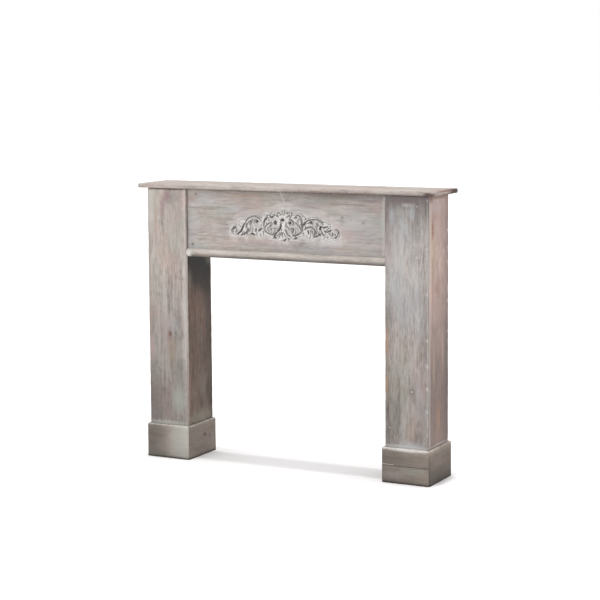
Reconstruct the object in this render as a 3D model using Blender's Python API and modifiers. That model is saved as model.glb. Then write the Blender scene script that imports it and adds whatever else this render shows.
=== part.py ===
"""Whitewashed wooden mantelpiece: two box legs with skirtings, a frieze with a bead and a carved onlay, and a shelf.

Metres, +Z up. The front faces -Y, and the origin is on the floor, under the middle of the shelf.
"""

import math

import bmesh
import bpy
from mathutils import Matrix, Vector
from mathutils.geometry import interpolate_bezier

# Shelf
SHELF_TOP = 1.000
SHELF_THICKNESS = 0.016
SHELF_SIDE_OVERHANG = 0.034
SHELF_FRONT_OVERHANG = 0.012
SHELF_EDGE_ROUND = 0.0055

# Legs, each a box of three boards that is open at the back
LEGS_WIDTH = 1.100
LEG_WIDTH = 0.158
LEG_DEPTH = 0.180
LEG_BOARD = 0.014
BOARD_EDGE_ROUND = 0.0015

# Skirtings round the foot of each leg
SKIRTING_HEIGHT = 0.123
SKIRTING_THICKNESS = 0.011
SKIRTING_ROUND = 0.008

# Frieze, hung from the shelf, and the bead along its lower edge
FRIEZE_HEIGHT = 0.244
FRIEZE_BOARD = 0.014
FRIEZE_SETBACK = 0.014
BEAD_HEIGHT = 0.030
BEAD_PROJECTION = 0.012
BEAD_ARC_STEPS = 12

# Carved onlay, drawn in shares of its half width, a little below the middle of the frieze's bare field
ONLAY_HALF_WIDTH = 0.220
ONLAY_DROP = 0.013
ONLAY_RELIEF = 1.15
ONLAY_ROOT = 0.6
SPIRAL_STEP = 24.0
ARC_POINTS = 8
PETAL_POINTS = 6
ON_AXIS = 0.001
ONLAY_VOXEL = 0.004
ONLAY_KEPT_SHARE = 0.032

# Gap that touching pieces keep
CLEARANCE = 0.0003

# Places worked out from the sizes above
SHELF_UNDERSIDE = SHELF_TOP - SHELF_THICKNESS
FRIEZE_BOTTOM = SHELF_UNDERSIDE - FRIEZE_HEIGHT
ONLAY_CENTRE_HEIGHT = (SHELF_UNDERSIDE + FRIEZE_BOTTOM + BEAD_HEIGHT) / 2 - ONLAY_DROP
BACK_Y = (LEG_DEPTH + SHELF_FRONT_OVERHANG) / 2
LEG_FRONT_Y = BACK_Y - LEG_DEPTH
LEG_TOP = SHELF_UNDERSIDE - CLEARANCE
LEG_INNER_X = LEGS_WIDTH / 2 - LEG_WIDTH
FRIEZE_FRONT_Y = LEG_FRONT_Y + FRIEZE_SETBACK

PALE_WOOD = (0.46, 0.41, 0.38)
BROWN_WOOD = (0.30, 0.24, 0.20)
WHITE_WASH = (0.62, 0.60, 0.57)
WOOD_ROUGHNESS = 0.72


def clear_scene():
    for obj in list(bpy.data.objects):
        bpy.data.objects.remove(obj, do_unlink=True)


def new_collection(name):
    collection = bpy.data.collections.new(name)
    bpy.context.scene.collection.children.link(collection)
    return collection


def wood(name, colour):
    material = bpy.data.materials.new(name)
    material.use_nodes = True
    shader = material.node_tree.nodes["Principled BSDF"]
    shader.inputs["Base Color"].default_value = (*colour, 1.0)
    shader.inputs["Roughness"].default_value = WOOD_ROUGHNESS
    shader.inputs["Metallic"].default_value = 0.0
    return material


def object_from_bmesh(name, bm, collection, material):
    """Turns a finished bmesh into a named object in its collection."""
    mesh = bpy.data.meshes.new(name)
    bm.to_mesh(mesh)
    bm.free()
    mesh.materials.append(material)
    obj = bpy.data.objects.new(name, mesh)
    collection.objects.link(obj)
    return obj


def box_bmesh(low, high):
    """A box between two corners, as a bmesh centred where the box is."""
    low, high = Vector(low), Vector(high)
    bm = bmesh.new()
    bmesh.ops.create_cube(bm, size=1.0)
    bmesh.ops.scale(bm, vec=high - low, verts=bm.verts)
    bmesh.ops.translate(bm, vec=(low + high) / 2, verts=bm.verts)
    return bm


def round_edges(bm, edges, width, segments):
    bmesh.ops.bevel(
        bm,
        geom=edges,
        offset=width,
        offset_type="OFFSET",
        segments=segments,
        profile=0.5,
        affect="EDGES",
        clamp_overlap=True,
    )


def board(name, low, high, collection, material):
    """A plain sawn board with eased arrises."""
    bm = box_bmesh(low, high)
    round_edges(bm, bm.edges[:], BOARD_EDGE_ROUND, 2)
    return object_from_bmesh(name, bm, collection, material)


def make_shelf(collection, material):
    """The top board: rounded along the front and both ends, square along the wall."""
    half_width = LEGS_WIDTH / 2 + SHELF_SIDE_OVERHANG
    front_y = LEG_FRONT_Y - SHELF_FRONT_OVERHANG
    bm = box_bmesh((-half_width, front_y, SHELF_UNDERSIDE), (half_width, BACK_Y, SHELF_TOP))
    middle_y = (front_y + BACK_Y) / 2
    shown = [edge for edge in bm.edges if min(vert.co.y for vert in edge.verts) < middle_y]
    round_edges(bm, shown, SHELF_EDGE_ROUND, 3)
    return object_from_bmesh("shelf", bm, collection, material)


def make_leg(side, collection, material):
    """Front, inner and outer boards of one leg. side is -1 on the left and +1 on the right."""
    name = "left" if side < 0 else "right"
    outer_x = side * LEGS_WIDTH / 2
    inner_x = side * LEG_INNER_X
    low_x, high_x = sorted((outer_x, inner_x))
    board(f"{name}_leg_front", (low_x, LEG_FRONT_Y, 0), (high_x, LEG_FRONT_Y + LEG_BOARD, LEG_TOP), collection, material)
    side_front_y = LEG_FRONT_Y + LEG_BOARD + CLEARANCE
    for place, face_x, inward in (("outer", outer_x, -side), ("inner", inner_x, side)):
        near_x, far_x = sorted((face_x, face_x + inward * LEG_BOARD))
        board(f"{name}_leg_{place}", (near_x, side_front_y, 0), (far_x, BACK_Y, LEG_TOP), collection, material)


def cut_away(bm, point, normal):
    """Removes what lies beyond a plane and closes the cut."""
    bmesh.ops.bisect_plane(
        bm,
        geom=bm.verts[:] + bm.edges[:] + bm.faces[:],
        plane_co=point,
        plane_no=normal,
        clear_outer=True,
    )
    bmesh.ops.holes_fill(bm, edges=[edge for edge in bm.edges if edge.is_boundary])


def round_between(bm, planes):
    """Rounds every edge that lies in two of the planes, each given as an axis and a value along it."""

    def is_shared(edge):
        return 2 == sum(all(abs(vert.co[axis] - value) < CLEARANCE for vert in edge.verts) for axis, value in planes)

    round_edges(bm, [edge for edge in bm.edges if is_shared(edge)], SKIRTING_ROUND, 4)


def make_skirting(side, collection, material):
    """Three mitred skirtings round the foot of one leg, rounded along the top and at the corners."""
    name = "left" if side < 0 else "right"
    low_x, high_x = sorted((side * LEGS_WIDTH / 2, side * LEG_INNER_X))
    gap = CLEARANCE / 2
    front_y = LEG_FRONT_Y - SKIRTING_THICKNESS

    end_low, end_high = low_x - SKIRTING_THICKNESS, high_x + SKIRTING_THICKNESS
    bm = box_bmesh((end_low, front_y, 0), (end_high, LEG_FRONT_Y - CLEARANCE, SKIRTING_HEIGHT))
    round_between(bm, [(0, end_low), (0, end_high), (1, front_y), (2, SKIRTING_HEIGHT)])
    for corner_x, turn in ((low_x, -1), (high_x, 1)):
        mitre = Vector((turn, 1, 0)).normalized()
        cut_away(bm, Vector((corner_x, LEG_FRONT_Y, 0)) - mitre * gap, mitre)
    object_from_bmesh(f"{name}_skirting_front", bm, collection, material)

    for place, corner_x, turn in (
        ("outer", side * LEGS_WIDTH / 2, side),
        ("inner", side * LEG_INNER_X, -side),
    ):
        near_x = corner_x + turn * CLEARANCE
        far_x = corner_x + turn * SKIRTING_THICKNESS
        bm = box_bmesh((min(near_x, far_x), front_y, 0), (max(near_x, far_x), BACK_Y, SKIRTING_HEIGHT))
        round_between(bm, [(0, far_x), (1, front_y), (2, SKIRTING_HEIGHT)])
        mitre = Vector((-turn, -1, 0)).normalized()
        cut_away(bm, Vector((corner_x, LEG_FRONT_Y, 0)) - mitre * gap, mitre)
        object_from_bmesh(f"{name}_skirting_{place}", bm, collection, material)


def make_frieze(collection, material):
    """The board between the legs, set back from their front faces."""
    half_width = LEG_INNER_X - CLEARANCE
    low = (-half_width, FRIEZE_FRONT_Y, FRIEZE_BOTTOM)
    high = (half_width, FRIEZE_FRONT_Y + FRIEZE_BOARD, LEG_TOP)
    return board("frieze_board", low, high, collection, material)


def bead_outline():
    """Projection and height of the bead's section: a half round that is taller than it is deep."""
    radius_z = BEAD_HEIGHT / 2
    points = [(0.0, BEAD_HEIGHT), (0.0, 0.0)]
    for step in range(BEAD_ARC_STEPS):
        angle = math.radians(-90 + 180 * (step + 1) / (BEAD_ARC_STEPS + 1))
        points.append((BEAD_PROJECTION * math.cos(angle), radius_z + radius_z * math.sin(angle)))
    return points


def make_bead(collection, material):
    """The bead along the frieze's lower edge, its section extruded from leg to leg."""
    length = 2 * (LEG_INNER_X - CLEARANCE)
    curve = bpy.data.curves.new("frieze_bead", "CURVE")
    curve.dimensions = "2D"
    curve.fill_mode = "BOTH"
    curve.extrude = length / 2
    outline = bead_outline()
    spline = curve.splines.new("POLY")
    spline.points.add(len(outline) - 1)
    for point, (out, up) in zip(spline.points, outline):
        point.co = (out, up, 0, 1)
    spline.use_cyclic_u = True
    curve.materials.append(material)
    bead = bpy.data.objects.new("frieze_bead", curve)
    # The section's own x points out of the frieze, its y up and its z along the frieze.
    turn = Matrix(((0, 0, -1, 0), (-1, 0, 0, 0), (0, 1, 0, 0), (0, 0, 0, 1)))
    place = Matrix.Translation((0, FRIEZE_FRONT_Y - CLEARANCE, FRIEZE_BOTTOM))
    bead.matrix_world = place @ turn
    collection.objects.link(bead)
    return bead


def volute(centre, radii, angles, widths):
    """A spiral stroke. Radius falls by equal shares for each degree, width evenly."""
    steps = max(2, math.ceil(abs(angles[1] - angles[0]) / SPIRAL_STEP))
    stroke = []
    for step in range(steps + 1):
        share = step / steps
        angle = math.radians(angles[0] + (angles[1] - angles[0]) * share)
        radius = radii[0] * (radii[1] / radii[0]) ** share
        width = widths[0] + (widths[1] - widths[0]) * share
        stroke.append((centre[0] + radius * math.cos(angle), centre[1] + radius * math.sin(angle), width))
    return stroke


def petal(root, angle, length, width, curl=0.0):
    """A leaf lobe: narrow at the root, widest at the middle, pointed at the tip. curl turns it, in degrees."""
    stroke = []
    x, z = root
    step_length = length / (PETAL_POINTS - 1)
    for step in range(PETAL_POINTS):
        share = step / (PETAL_POINTS - 1)
        stroke.append((x, z, width * math.sin(math.pi * (0.14 + 0.82 * share)) ** 0.7))
        heading = math.radians(angle + curl * share)
        x += step_length * math.cos(heading)
        z += step_length * math.sin(heading)
    return stroke


def fan(root, middle_angle, spread, lengths, width):
    """Half a fan of petals. The first stands on the line of symmetry, and the rest lean out by equal angles."""
    return [
        petal(root, middle_angle - spread * number, length, width)
        for number, length in enumerate(lengths)
    ]


def ribbon(*arcs):
    """A stroke along Bezier arcs. Each arc gives its start, two handles, end and its widths at both ends."""
    stroke = []
    for *ends, widths in arcs:
        path = interpolate_bezier(*(Vector((*point, 0)) for point in ends), ARC_POINTS)
        for step, point in enumerate(path[1:] if stroke else path):
            share = (step + (1 if stroke else 0)) / (ARC_POINTS - 1)
            stroke.append((point.x, point.y, widths[0] + (widths[1] - widths[0]) * share))
    return stroke


def onlay_strokes():
    """The strokes of the onlay's right half, in shares of its half width, from its centre."""
    stem = [ribbon(((0.0, 0.070), (0.0, 0.030), (0.0, -0.060), (0.0, -0.130), (0.020, 0.024)))]
    middle_leaves = [
        *fan((0.0, 0.110), 90.0, 25.0, (0.145, 0.145, 0.130, 0.115, 0.095), 0.030),
        *fan((0.0, -0.105), -90.0, -27.0, (0.150, 0.155, 0.150, 0.130), 0.032),
        petal((0.065, 0.085), -80.0, 0.110, 0.020, 25.0),
        petal((0.105, 0.075), 150.0, 0.080, 0.020, 30.0),
        petal((0.265, -0.120), -25.0, 0.095, 0.022, 60.0),
        petal((0.190, -0.150), -75.0, 0.075, 0.020, 50.0),
        petal((0.095, 0.080), 52.0, 0.150, 0.027, -35.0),
        petal((0.185, 0.040), 68.0, 0.155, 0.029, -30.0),
    ]
    arch_leaves = [
        petal((0.350, 0.030), 72.0, 0.135, 0.025, 30.0),
        petal((0.300, 0.040), 120.0, 0.080, 0.020, -40.0),
        petal((0.400, 0.010), 40.0, 0.085, 0.022, -60.0),
        petal((0.395, -0.040), -80.0, 0.125, 0.027, -35.0),
        petal((0.455, -0.040), -88.0, 0.145, 0.028, -25.0),
        petal((0.520, -0.045), -92.0, 0.140, 0.027, -15.0),
    ]
    outer_leaves = [
        petal((0.640, 0.020), -120.0, 0.100, 0.024, 30.0),
        petal((0.655, 0.020), 35.0, 0.140, 0.030, -50.0),
        petal((0.690, -0.040), 22.0, 0.155, 0.029, 30.0),
        petal((0.735, -0.105), 28.0, 0.135, 0.027, 45.0),
        petal((0.685, -0.045), -75.0, 0.150, 0.030, -35.0),
        petal((0.760, -0.120), -60.0, 0.085, 0.022, 40.0),
    ]
    middle_scrolls = [
        volute((0.0, 0.092), (0.036, 0.036), (-90.0, 270.0), (0.016, 0.016)),
        ribbon(
            ((0.045, 0.070), (0.030, -0.030), (0.050, -0.060), (0.120, -0.115), (0.024, 0.026)),
            ((0.120, -0.115), (0.155, -0.140), (0.190, -0.150), (0.165, -0.200), (0.026, 0.014)),
        ),
        ribbon(
            ((0.190, -0.146), (0.310, -0.150), (0.360, -0.040), (0.275, 0.012), (0.027, 0.027)),
            ((0.275, 0.012), (0.220, 0.055), (0.190, 0.105), (0.130, 0.112), (0.027, 0.022)),
        ),
        volute((0.137, 0.065), (0.048, 0.016), (95.0, 400.0), (0.022, 0.013)),
        volute((0.150, -0.070), (0.042, 0.018), (-60.0, 220.0), (0.022, 0.013)),
    ]
    arch_scrolls = [
        ribbon(((0.340, -0.070), (0.325, 0.040), (0.360, 0.185), (0.265, 0.185), (0.026, 0.021))),
        volute((0.257, 0.152), (0.034, 0.013), (80.0, 360.0), (0.021, 0.013)),
        ribbon(
            ((0.345, -0.060), (0.355, 0.060), (0.430, 0.124), (0.530, 0.122), (0.024, 0.028)),
            ((0.530, 0.122), (0.640, 0.115), (0.685, 0.050), (0.715, -0.015), (0.028, 0.034)),
            ((0.715, -0.015), (0.745, -0.085), (0.790, -0.150), (0.870, -0.168), (0.034, 0.024)),
        ),
        volute((0.508, 0.050), (0.062, 0.017), (55.0, -300.0), (0.022, 0.014)),
        ribbon(
            ((0.335, -0.085), (0.400, -0.015), (0.480, -0.000), (0.545, -0.022), (0.026, 0.027)),
            ((0.545, -0.022), (0.610, -0.050), (0.600, -0.100), (0.575, -0.150), (0.027, 0.010)),
        ),
        volute((0.905, -0.098), (0.071, 0.020), (-128.0, 275.0), (0.026, 0.016)),
    ]
    return stem + middle_leaves + arch_leaves + outer_leaves + middle_scrolls + arch_scrolls


def carving_section(collection):
    """The section that every stroke is swept with: a D that stands proud and roots behind the plane."""
    outline = [(-1.0, -ONLAY_ROOT)]
    arc_steps = 6
    for step in range(arc_steps + 1):
        angle = math.pi * (1 - step / arc_steps)
        outline.append((math.cos(angle), ONLAY_RELIEF * (0.35 + 0.65 * math.sin(angle))))
    outline.append((1.0, -ONLAY_ROOT))
    curve = bpy.data.curves.new("carving_section", "CURVE")
    curve.dimensions = "2D"
    spline = curve.splines.new("POLY")
    spline.points.add(len(outline) - 1)
    for point, (across, out) in zip(spline.points, outline):
        point.co = (across, out, 0, 1)
    spline.use_cyclic_u = True
    section = bpy.data.objects.new("carving_section", curve)
    hide_as_guide(section)
    collection.objects.link(section)
    return section


def hide_as_guide(obj):
    obj.hide_render = True
    obj.display_type = "WIRE"


def onlay_matrix():
    """From the onlay's own plane to the frieze: its x along the frieze, y up and z out of it."""
    scale = Matrix.Diagonal((ONLAY_HALF_WIDTH, ONLAY_HALF_WIDTH, ONLAY_HALF_WIDTH, 1.0))
    place = Matrix.Translation((0, FRIEZE_FRONT_Y - CLEARANCE, ONLAY_CENTRE_HEIGHT))
    return place @ Matrix.Rotation(math.radians(90), 4, "X") @ scale


def sweep_stroke(stroke, section, collection):
    """Sweeps the section along one stroke and returns it as a closed mesh in the onlay's own plane."""
    curve = bpy.data.curves.new("stroke", "CURVE")
    curve.dimensions = "2D"
    curve.bevel_mode = "OBJECT"
    curve.bevel_object = section
    curve.use_fill_caps = True
    spline = curve.splines.new("POLY")
    spline.points.add(len(stroke) - 1)
    for point, (x, z, width) in zip(spline.points, stroke):
        point.co = (x, z, 0, 1)
        point.radius = width
    path = bpy.data.objects.new("stroke", curve)
    collection.objects.link(path)
    bpy.context.view_layer.update()
    mesh = bpy.data.meshes.new_from_object(path.evaluated_get(bpy.context.evaluated_depsgraph_get()))
    bpy.data.objects.remove(path, do_unlink=True)
    return mesh


def make_onlay(collection, guides, material):
    """The carved onlay: all its strokes melted into one surface, thinned and cut flat behind."""
    section = carving_section(guides)
    bm = bmesh.new()
    for stroke in onlay_strokes():
        copies = [stroke]
        if max(abs(x) for x, z, width in stroke) > ON_AXIS:
            copies.append([(-x, z, width) for x, z, width in stroke])
        for copy in copies:
            mesh = sweep_stroke(copy, section, guides)
            bm.from_mesh(mesh)
            bpy.data.meshes.remove(mesh)
    bmesh.ops.remove_doubles(bm, verts=bm.verts, dist=1e-6)
    bmesh.ops.transform(bm, matrix=onlay_matrix(), verts=bm.verts)
    bmesh.ops.recalc_face_normals(bm, faces=bm.faces)
    onlay = object_from_bmesh("carved_ornament", bm, collection, material)

    melt = onlay.modifiers.new("melt_strokes", "REMESH")
    melt.mode = "VOXEL"
    melt.voxel_size = ONLAY_VOXEL * ONLAY_HALF_WIDTH
    thin = onlay.modifiers.new("thin_out", "DECIMATE")
    thin.ratio = ONLAY_KEPT_SHARE

    back_y = FRIEZE_FRONT_Y - CLEARANCE
    reach = 2 * ONLAY_HALF_WIDTH
    behind = object_from_bmesh(
        "behind_onlay",
        box_bmesh(
            (-reach, back_y, ONLAY_CENTRE_HEIGHT - reach),
            (reach, back_y + reach, ONLAY_CENTRE_HEIGHT + reach),
        ),
        guides,
        material,
    )
    hide_as_guide(behind)
    flatten = onlay.modifiers.new("flat_back", "BOOLEAN")
    flatten.operation = "DIFFERENCE"
    flatten.object = behind
    flatten.solver = "EXACT"
    return onlay


def main():
    clear_scene()
    mantelpiece = new_collection("mantelpiece")
    guides = new_collection("guides")
    pale = wood("whitewashed_wood", PALE_WOOD)
    brown = wood("worn_brown_wood", BROWN_WOOD)
    white = wood("white_rubbed_carving", WHITE_WASH)

    make_shelf(mantelpiece, pale)
    for side in (-1, 1):
        make_leg(side, mantelpiece, pale)
        make_skirting(side, mantelpiece, brown)
    make_frieze(mantelpiece, pale)
    make_bead(mantelpiece, brown)
    make_onlay(mantelpiece, guides, white)


main()
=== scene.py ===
# %% [markdown]
# # A whitewashed wooden mantelpiece
#
# Two box legs stand on skirted feet and carry a thin shelf. Between them hangs a frieze board with
# a carved scroll onlay, and a bead runs along its lower edge. The wood is brown, brushed with thin
# white paint and rubbed back, so that grain, knots and dark hollows show through.
#
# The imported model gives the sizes. Each board is made again here with worn arrises and its own
# finish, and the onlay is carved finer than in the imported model.

import math

import bmesh
import bpy
import numpy as np
from mathutils import Matrix, Vector, noise
from mathutils.geometry import interpolate_bezier


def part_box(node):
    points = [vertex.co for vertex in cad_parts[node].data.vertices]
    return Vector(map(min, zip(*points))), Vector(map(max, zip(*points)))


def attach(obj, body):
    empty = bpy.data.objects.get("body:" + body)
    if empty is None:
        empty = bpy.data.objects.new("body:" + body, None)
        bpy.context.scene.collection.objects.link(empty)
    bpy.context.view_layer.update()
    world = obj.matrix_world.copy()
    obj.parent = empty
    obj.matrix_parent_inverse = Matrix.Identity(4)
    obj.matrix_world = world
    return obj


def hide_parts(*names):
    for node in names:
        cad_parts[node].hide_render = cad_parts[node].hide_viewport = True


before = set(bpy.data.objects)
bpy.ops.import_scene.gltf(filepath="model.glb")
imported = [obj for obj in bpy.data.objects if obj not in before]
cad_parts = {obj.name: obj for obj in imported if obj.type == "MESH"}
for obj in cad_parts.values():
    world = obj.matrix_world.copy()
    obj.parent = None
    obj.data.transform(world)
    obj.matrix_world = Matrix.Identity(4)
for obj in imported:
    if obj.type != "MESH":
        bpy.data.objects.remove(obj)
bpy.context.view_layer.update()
print("nodes in the packed model:", ", ".join(sorted(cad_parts)))

# %% [markdown]
# ## Colour management
#
# The standard view shows colours as they are set, which suits a plain studio shot on white.

# %% Choose the view transform
scene = bpy.context.scene
scene.view_settings.view_transform = "Standard"
scene.view_settings.look = "None"
print("view transform:", scene.view_settings.view_transform)

# %% [markdown]
# ## Camera
#
# A long lens from the front and a little to the right. The direction and the up vector were found
# by fitting the corners of the legs and the shelf. The upright edges are almost parallel in the
# photo, so the camera looks nearly level and the lens is shifted down.

# %% Place the camera
CAMERA_PLACE = Vector((2.8416, -5.4465, 1.4354))
CAMERA_LOOKS = Vector((-0.45676, 0.88377, -0.10163)).normalized()
CAMERA_UP = Vector((-0.04035, 0.09354, 0.99480))
CAMERA_LENS = 105.169
CAMERA_SHIFT = -0.1

camera_right = CAMERA_LOOKS.cross(CAMERA_UP).normalized()
camera_up = camera_right.cross(CAMERA_LOOKS)
camera_turn = Matrix((camera_right, camera_up, -CAMERA_LOOKS)).transposed().to_4x4()
bpy.ops.object.camera_add()
camera = bpy.context.object
camera.matrix_world = Matrix.Translation(CAMERA_PLACE) @ camera_turn
camera.data.lens = CAMERA_LENS
camera.data.sensor_width = 36.0
camera.data.shift_y = CAMERA_SHIFT
scene.camera = camera
print("camera", [round(value, 3) for value in camera.location], "lens", CAMERA_LENS, "mm")


# %% [markdown]
# ## A short way to write nodes
#
# Materials here have many nodes, so one helper adds a node, sets its options and fills its
# sockets with values or links. The short helpers after it add their node to the tree that their
# first socket belongs to.

# %% Node helpers
def add_node(tree, kind, sockets=None, **options):
    """Adds a node. A socket gets a link when its value is another socket, and a plain value otherwise."""
    node = tree.nodes.new(kind)
    for name, value in options.items():
        setattr(node, name, value)
    for key, value in (sockets or {}).items():
        if isinstance(value, bpy.types.NodeSocket):
            tree.links.new(value, node.inputs[key])
        else:
            node.inputs[key].default_value = value
    return node


def tree_of(*values):
    """The node tree of the first socket among the values."""
    return next(value.id_data for value in values if isinstance(value, bpy.types.NodeSocket))


def maths(operation, first, second=0.0, clamp=False):
    tree, sockets = tree_of(first, second), {0: first, 1: second}
    return add_node(tree, "ShaderNodeMath", sockets, operation=operation, use_clamp=clamp).outputs[0]


def plus(first, second, clamp=False):
    return maths("ADD", first, second, clamp)


def minus(first, second, clamp=False):
    return maths("SUBTRACT", first, second, clamp)


def times(first, second, clamp=False):
    return maths("MULTIPLY", first, second, clamp)


def vector_maths(operation, first, second=None):
    sockets = {0: first} if second is None else {0: first, 1: second}
    return add_node(tree_of(first), "ShaderNodeVectorMath", sockets, operation=operation).outputs


def split(vector):
    """The X, Y and Z of a vector."""
    return add_node(tree_of(vector), "ShaderNodeSeparateXYZ", {0: vector}).outputs


def remap(value, low, high, to_low=0.0, to_high=1.0, smooth=True):
    sockets = {"Value": value, "From Min": low, "From Max": high, "To Min": to_low, "To Max": to_high}
    way = "SMOOTHSTEP" if smooth else "LINEAR"
    return add_node(tree_of(value), "ShaderNodeMapRange", sockets, interpolation_type=way).outputs["Result"]


def mix_colour(share, first, second, blend="MIX"):
    tree, sockets = tree_of(share, first, second), {0: share, 6: first, 7: second}
    return add_node(tree, "ShaderNodeMix", sockets, data_type="RGBA", blend_type=blend).outputs[2]


def noise_of(vector, scale, detail=4.0, roughness=0.55, distortion=0.0):
    node = add_node(tree_of(vector), "ShaderNodeTexNoise", {
        "Vector": vector, "Scale": scale, "Detail": detail,
        "Roughness": roughness, "Distortion": distortion,
    })
    return node.outputs["Fac"]


def stretch(vector, scale, shift=(0.0, 0.0, 0.0)):
    sockets = {"Vector": vector, "Scale": scale, "Location": shift}
    return add_node(tree_of(vector), "ShaderNodeMapping", sockets).outputs["Vector"]


def link(value, socket):
    """Links a value to a socket of the same tree."""
    tree_of(value).links.new(value, socket)


def new_group(name, inputs, outputs):
    """A shader node group. inputs and outputs list names, kinds and default values."""
    group = bpy.data.node_groups.new(name, "ShaderNodeTree")
    for label, kind, default in inputs:
        socket = group.interface.new_socket(label, in_out="INPUT", socket_type="NodeSocket" + kind)
        if default is not None:
            socket.default_value = default
    for label, kind in outputs:
        group.interface.new_socket(label, in_out="OUTPUT", socket_type="NodeSocket" + kind)
    return group, group.nodes.new("NodeGroupInput").outputs, group.nodes.new("NodeGroupOutput").inputs


def use_group(tree, group, sockets):
    return add_node(tree, "ShaderNodeGroup", sockets, node_tree=group).outputs


def new_material(name):
    """A material, its node tree, its shader and its object coordinates."""
    material = bpy.data.materials.new(name)
    material.use_nodes = True
    tree = material.node_tree
    shader = tree.nodes["Principled BSDF"]
    return material, tree, shader, add_node(tree, "ShaderNodeTexCoord").outputs["Object"]


print("node helpers are ready")

# %% [markdown]
# ## Grain
#
# Sawn softwood shows short fine streaks along the board, broader bands where the year rings come
# to the surface, and dark pores. All of them are noise that is squeezed across the grain and drawn
# out along it. The group takes coordinates whose Z runs along the grain.

# %% Build the grain group
grain_group, grain_in, grain_out = new_group(
    "Wood grain",
    [("Along grain", "Vector", None)],
    [("Streaks", "Float"), ("Rings", "Float"), ("Pores", "Float"), ("Height", "Float")],
)
grain_at = grain_in["Along grain"]
fine = noise_of(stretch(grain_at, (1, 1, 0.085)), 290.0, 3.0, 0.6)
middle = noise_of(stretch(grain_at, (1, 1, 0.055)), 125.0, 3.0, 0.55)
mottle = noise_of(stretch(grain_at, (1, 1, 0.40)), 85.0, 4.0, 0.65)
streaks = plus(times(fine, 0.42), times(middle, 0.30))
streaks = plus(streaks, times(mottle, 0.28))
link(remap(streaks, 0.38, 0.62), grain_out["Streaks"])
bent = noise_of(stretch(grain_at, (1, 1, 0.11)), 5.0, 2.0, 0.5)
ring_wave = maths("SINE", times(bent, 95.0))
link(remap(ring_wave, -1.0, 1.0), grain_out["Rings"])
pore_noise = noise_of(stretch(grain_at, (1, 1, 0.06)), 420.0, 2.0, 0.5)
pores = remap(pore_noise, 0.60, 0.72)
link(pores, grain_out["Pores"])
height = minus(streaks, times(pores, 0.35))
link(height, grain_out["Height"])
print("grain group:", len(grain_group.nodes), "nodes")

# %% [markdown]
# ## Whitewash
#
# Thin white paint lies in the grain and in soft cloudy brush marks, and it is rubbed off the
# proud streaks. Cover says how much white is left. Tints are faint pink, green and blue clouds
# that the thin paint takes from the wood and the light, and smoke is a darker, dirtier cloud.

# %% Build the whitewash group
wash_group, wash_in, wash_out = new_group(
    "Rubbed whitewash",
    [("Along grain", "Vector", None), ("Streaks", "Float", 0.5), ("Rings", "Float", 0.5),
     ("Amount", "Float", 0.6), ("Unevenness", "Float", 0.5), ("Streakiness", "Float", 1.0)],
    [("Cover", "Float"), ("Pink", "Float"), ("Green", "Float"), ("Blue", "Float"), ("Smoke", "Float")],
)
wash_at = wash_in["Along grain"]
clouds = noise_of(stretch(wash_at, (1, 1, 0.45)), 13.0, 3.0, 0.5, 0.4)
brushed = noise_of(stretch(wash_at, (1, 1, 0.10)), 48.0, 3.0, 0.6)
dabs = noise_of(stretch(wash_at, (1, 1, 0.6)), 150.0, 3.0, 0.6)
uneven = times(minus(clouds, 0.5), 0.95)
for mask, share in ((brushed, 0.55), (dabs, 0.45), (wash_in["Streaks"], 0.50), (wash_in["Rings"], 0.10)):
    part = times(minus(mask, 0.5), share)
    part = times(part, wash_in["Streakiness"])
    uneven = plus(uneven, part)
uneven = times(uneven, wash_in["Unevenness"])
link(plus(wash_in["Amount"], uneven, clamp=True), wash_out["Cover"])
TINT_SHIFTS = {
    "Pink": (3.1, 1.7, 0.4), "Green": (7.3, 5.2, 2.9), "Blue": (1.9, 8.8, 6.1), "Smoke": (5.5, 2.2, 9.4),
}
for label, shift in TINT_SHIFTS.items():
    tint = noise_of(stretch(wash_at, (1, 1, 0.4), shift), 14.0, 3.0, 0.55, 0.3)
    link(remap(tint, 0.47, 0.70), wash_out[label])
print("whitewash group:", len(wash_group.nodes), "nodes")

# %% [markdown]
# ## Knots and stains
#
# A knot is a dark ring round a paler heart, and the grain darkens above and below it. A plug set
# in a board has the same look with a squarer outline. A stain is a soft cloud drawn out along the
# grain. All are put on a board by their place on it.

# %% Build the knot and stain groups
def centred(place, centre, size):
    """Coordinates measured from a centre, in shares of a size."""
    offset = vector_maths("SUBTRACT", place, centre)[0]
    return vector_maths("DIVIDE", offset, size)[0]


def length_of(vector):
    return vector_maths("LENGTH", vector)["Value"]


knot_group, knot_in, knot_out = new_group(
    "Knot",
    [("Place", "Vector", None), ("Centre", "Vector", (0, 0, 0)),
     ("Size", "Vector", (0.006, 0.006, 0.004)), ("Squareness", "Float", 0.0)],
    [("Ring", "Float"), ("Heart", "Float"), ("Shadow", "Float")],
)
scaled = centred(knot_in["Place"], knot_in["Centre"], knot_in["Size"])
round_length = length_of(scaled)
positive = vector_maths("ABSOLUTE", scaled)[0]
sides = split(positive)
widest = maths("MAXIMUM", sides["X"], sides["Y"])
square_length = maths("MAXIMUM", widest, sides["Z"])
squared = times(minus(square_length, round_length), knot_in["Squareness"])
length = plus(round_length, squared)
wobble = minus(noise_of(knot_in["Place"], 260.0, 2.0), 0.5)
length = plus(length, times(wobble, 0.5))
outer = remap(length, 1.30, 0.95)
heart = remap(length, 0.72, 0.45)
link(minus(outer, heart, clamp=True), knot_out["Ring"])
link(heart, knot_out["Heart"])
drawn = vector_maths("MULTIPLY", scaled, (0.5, 0.5, 0.22))[0]
far = plus(length_of(drawn), times(wobble, 0.5))
link(remap(far, 1.15, 0.1), knot_out["Shadow"])

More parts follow.
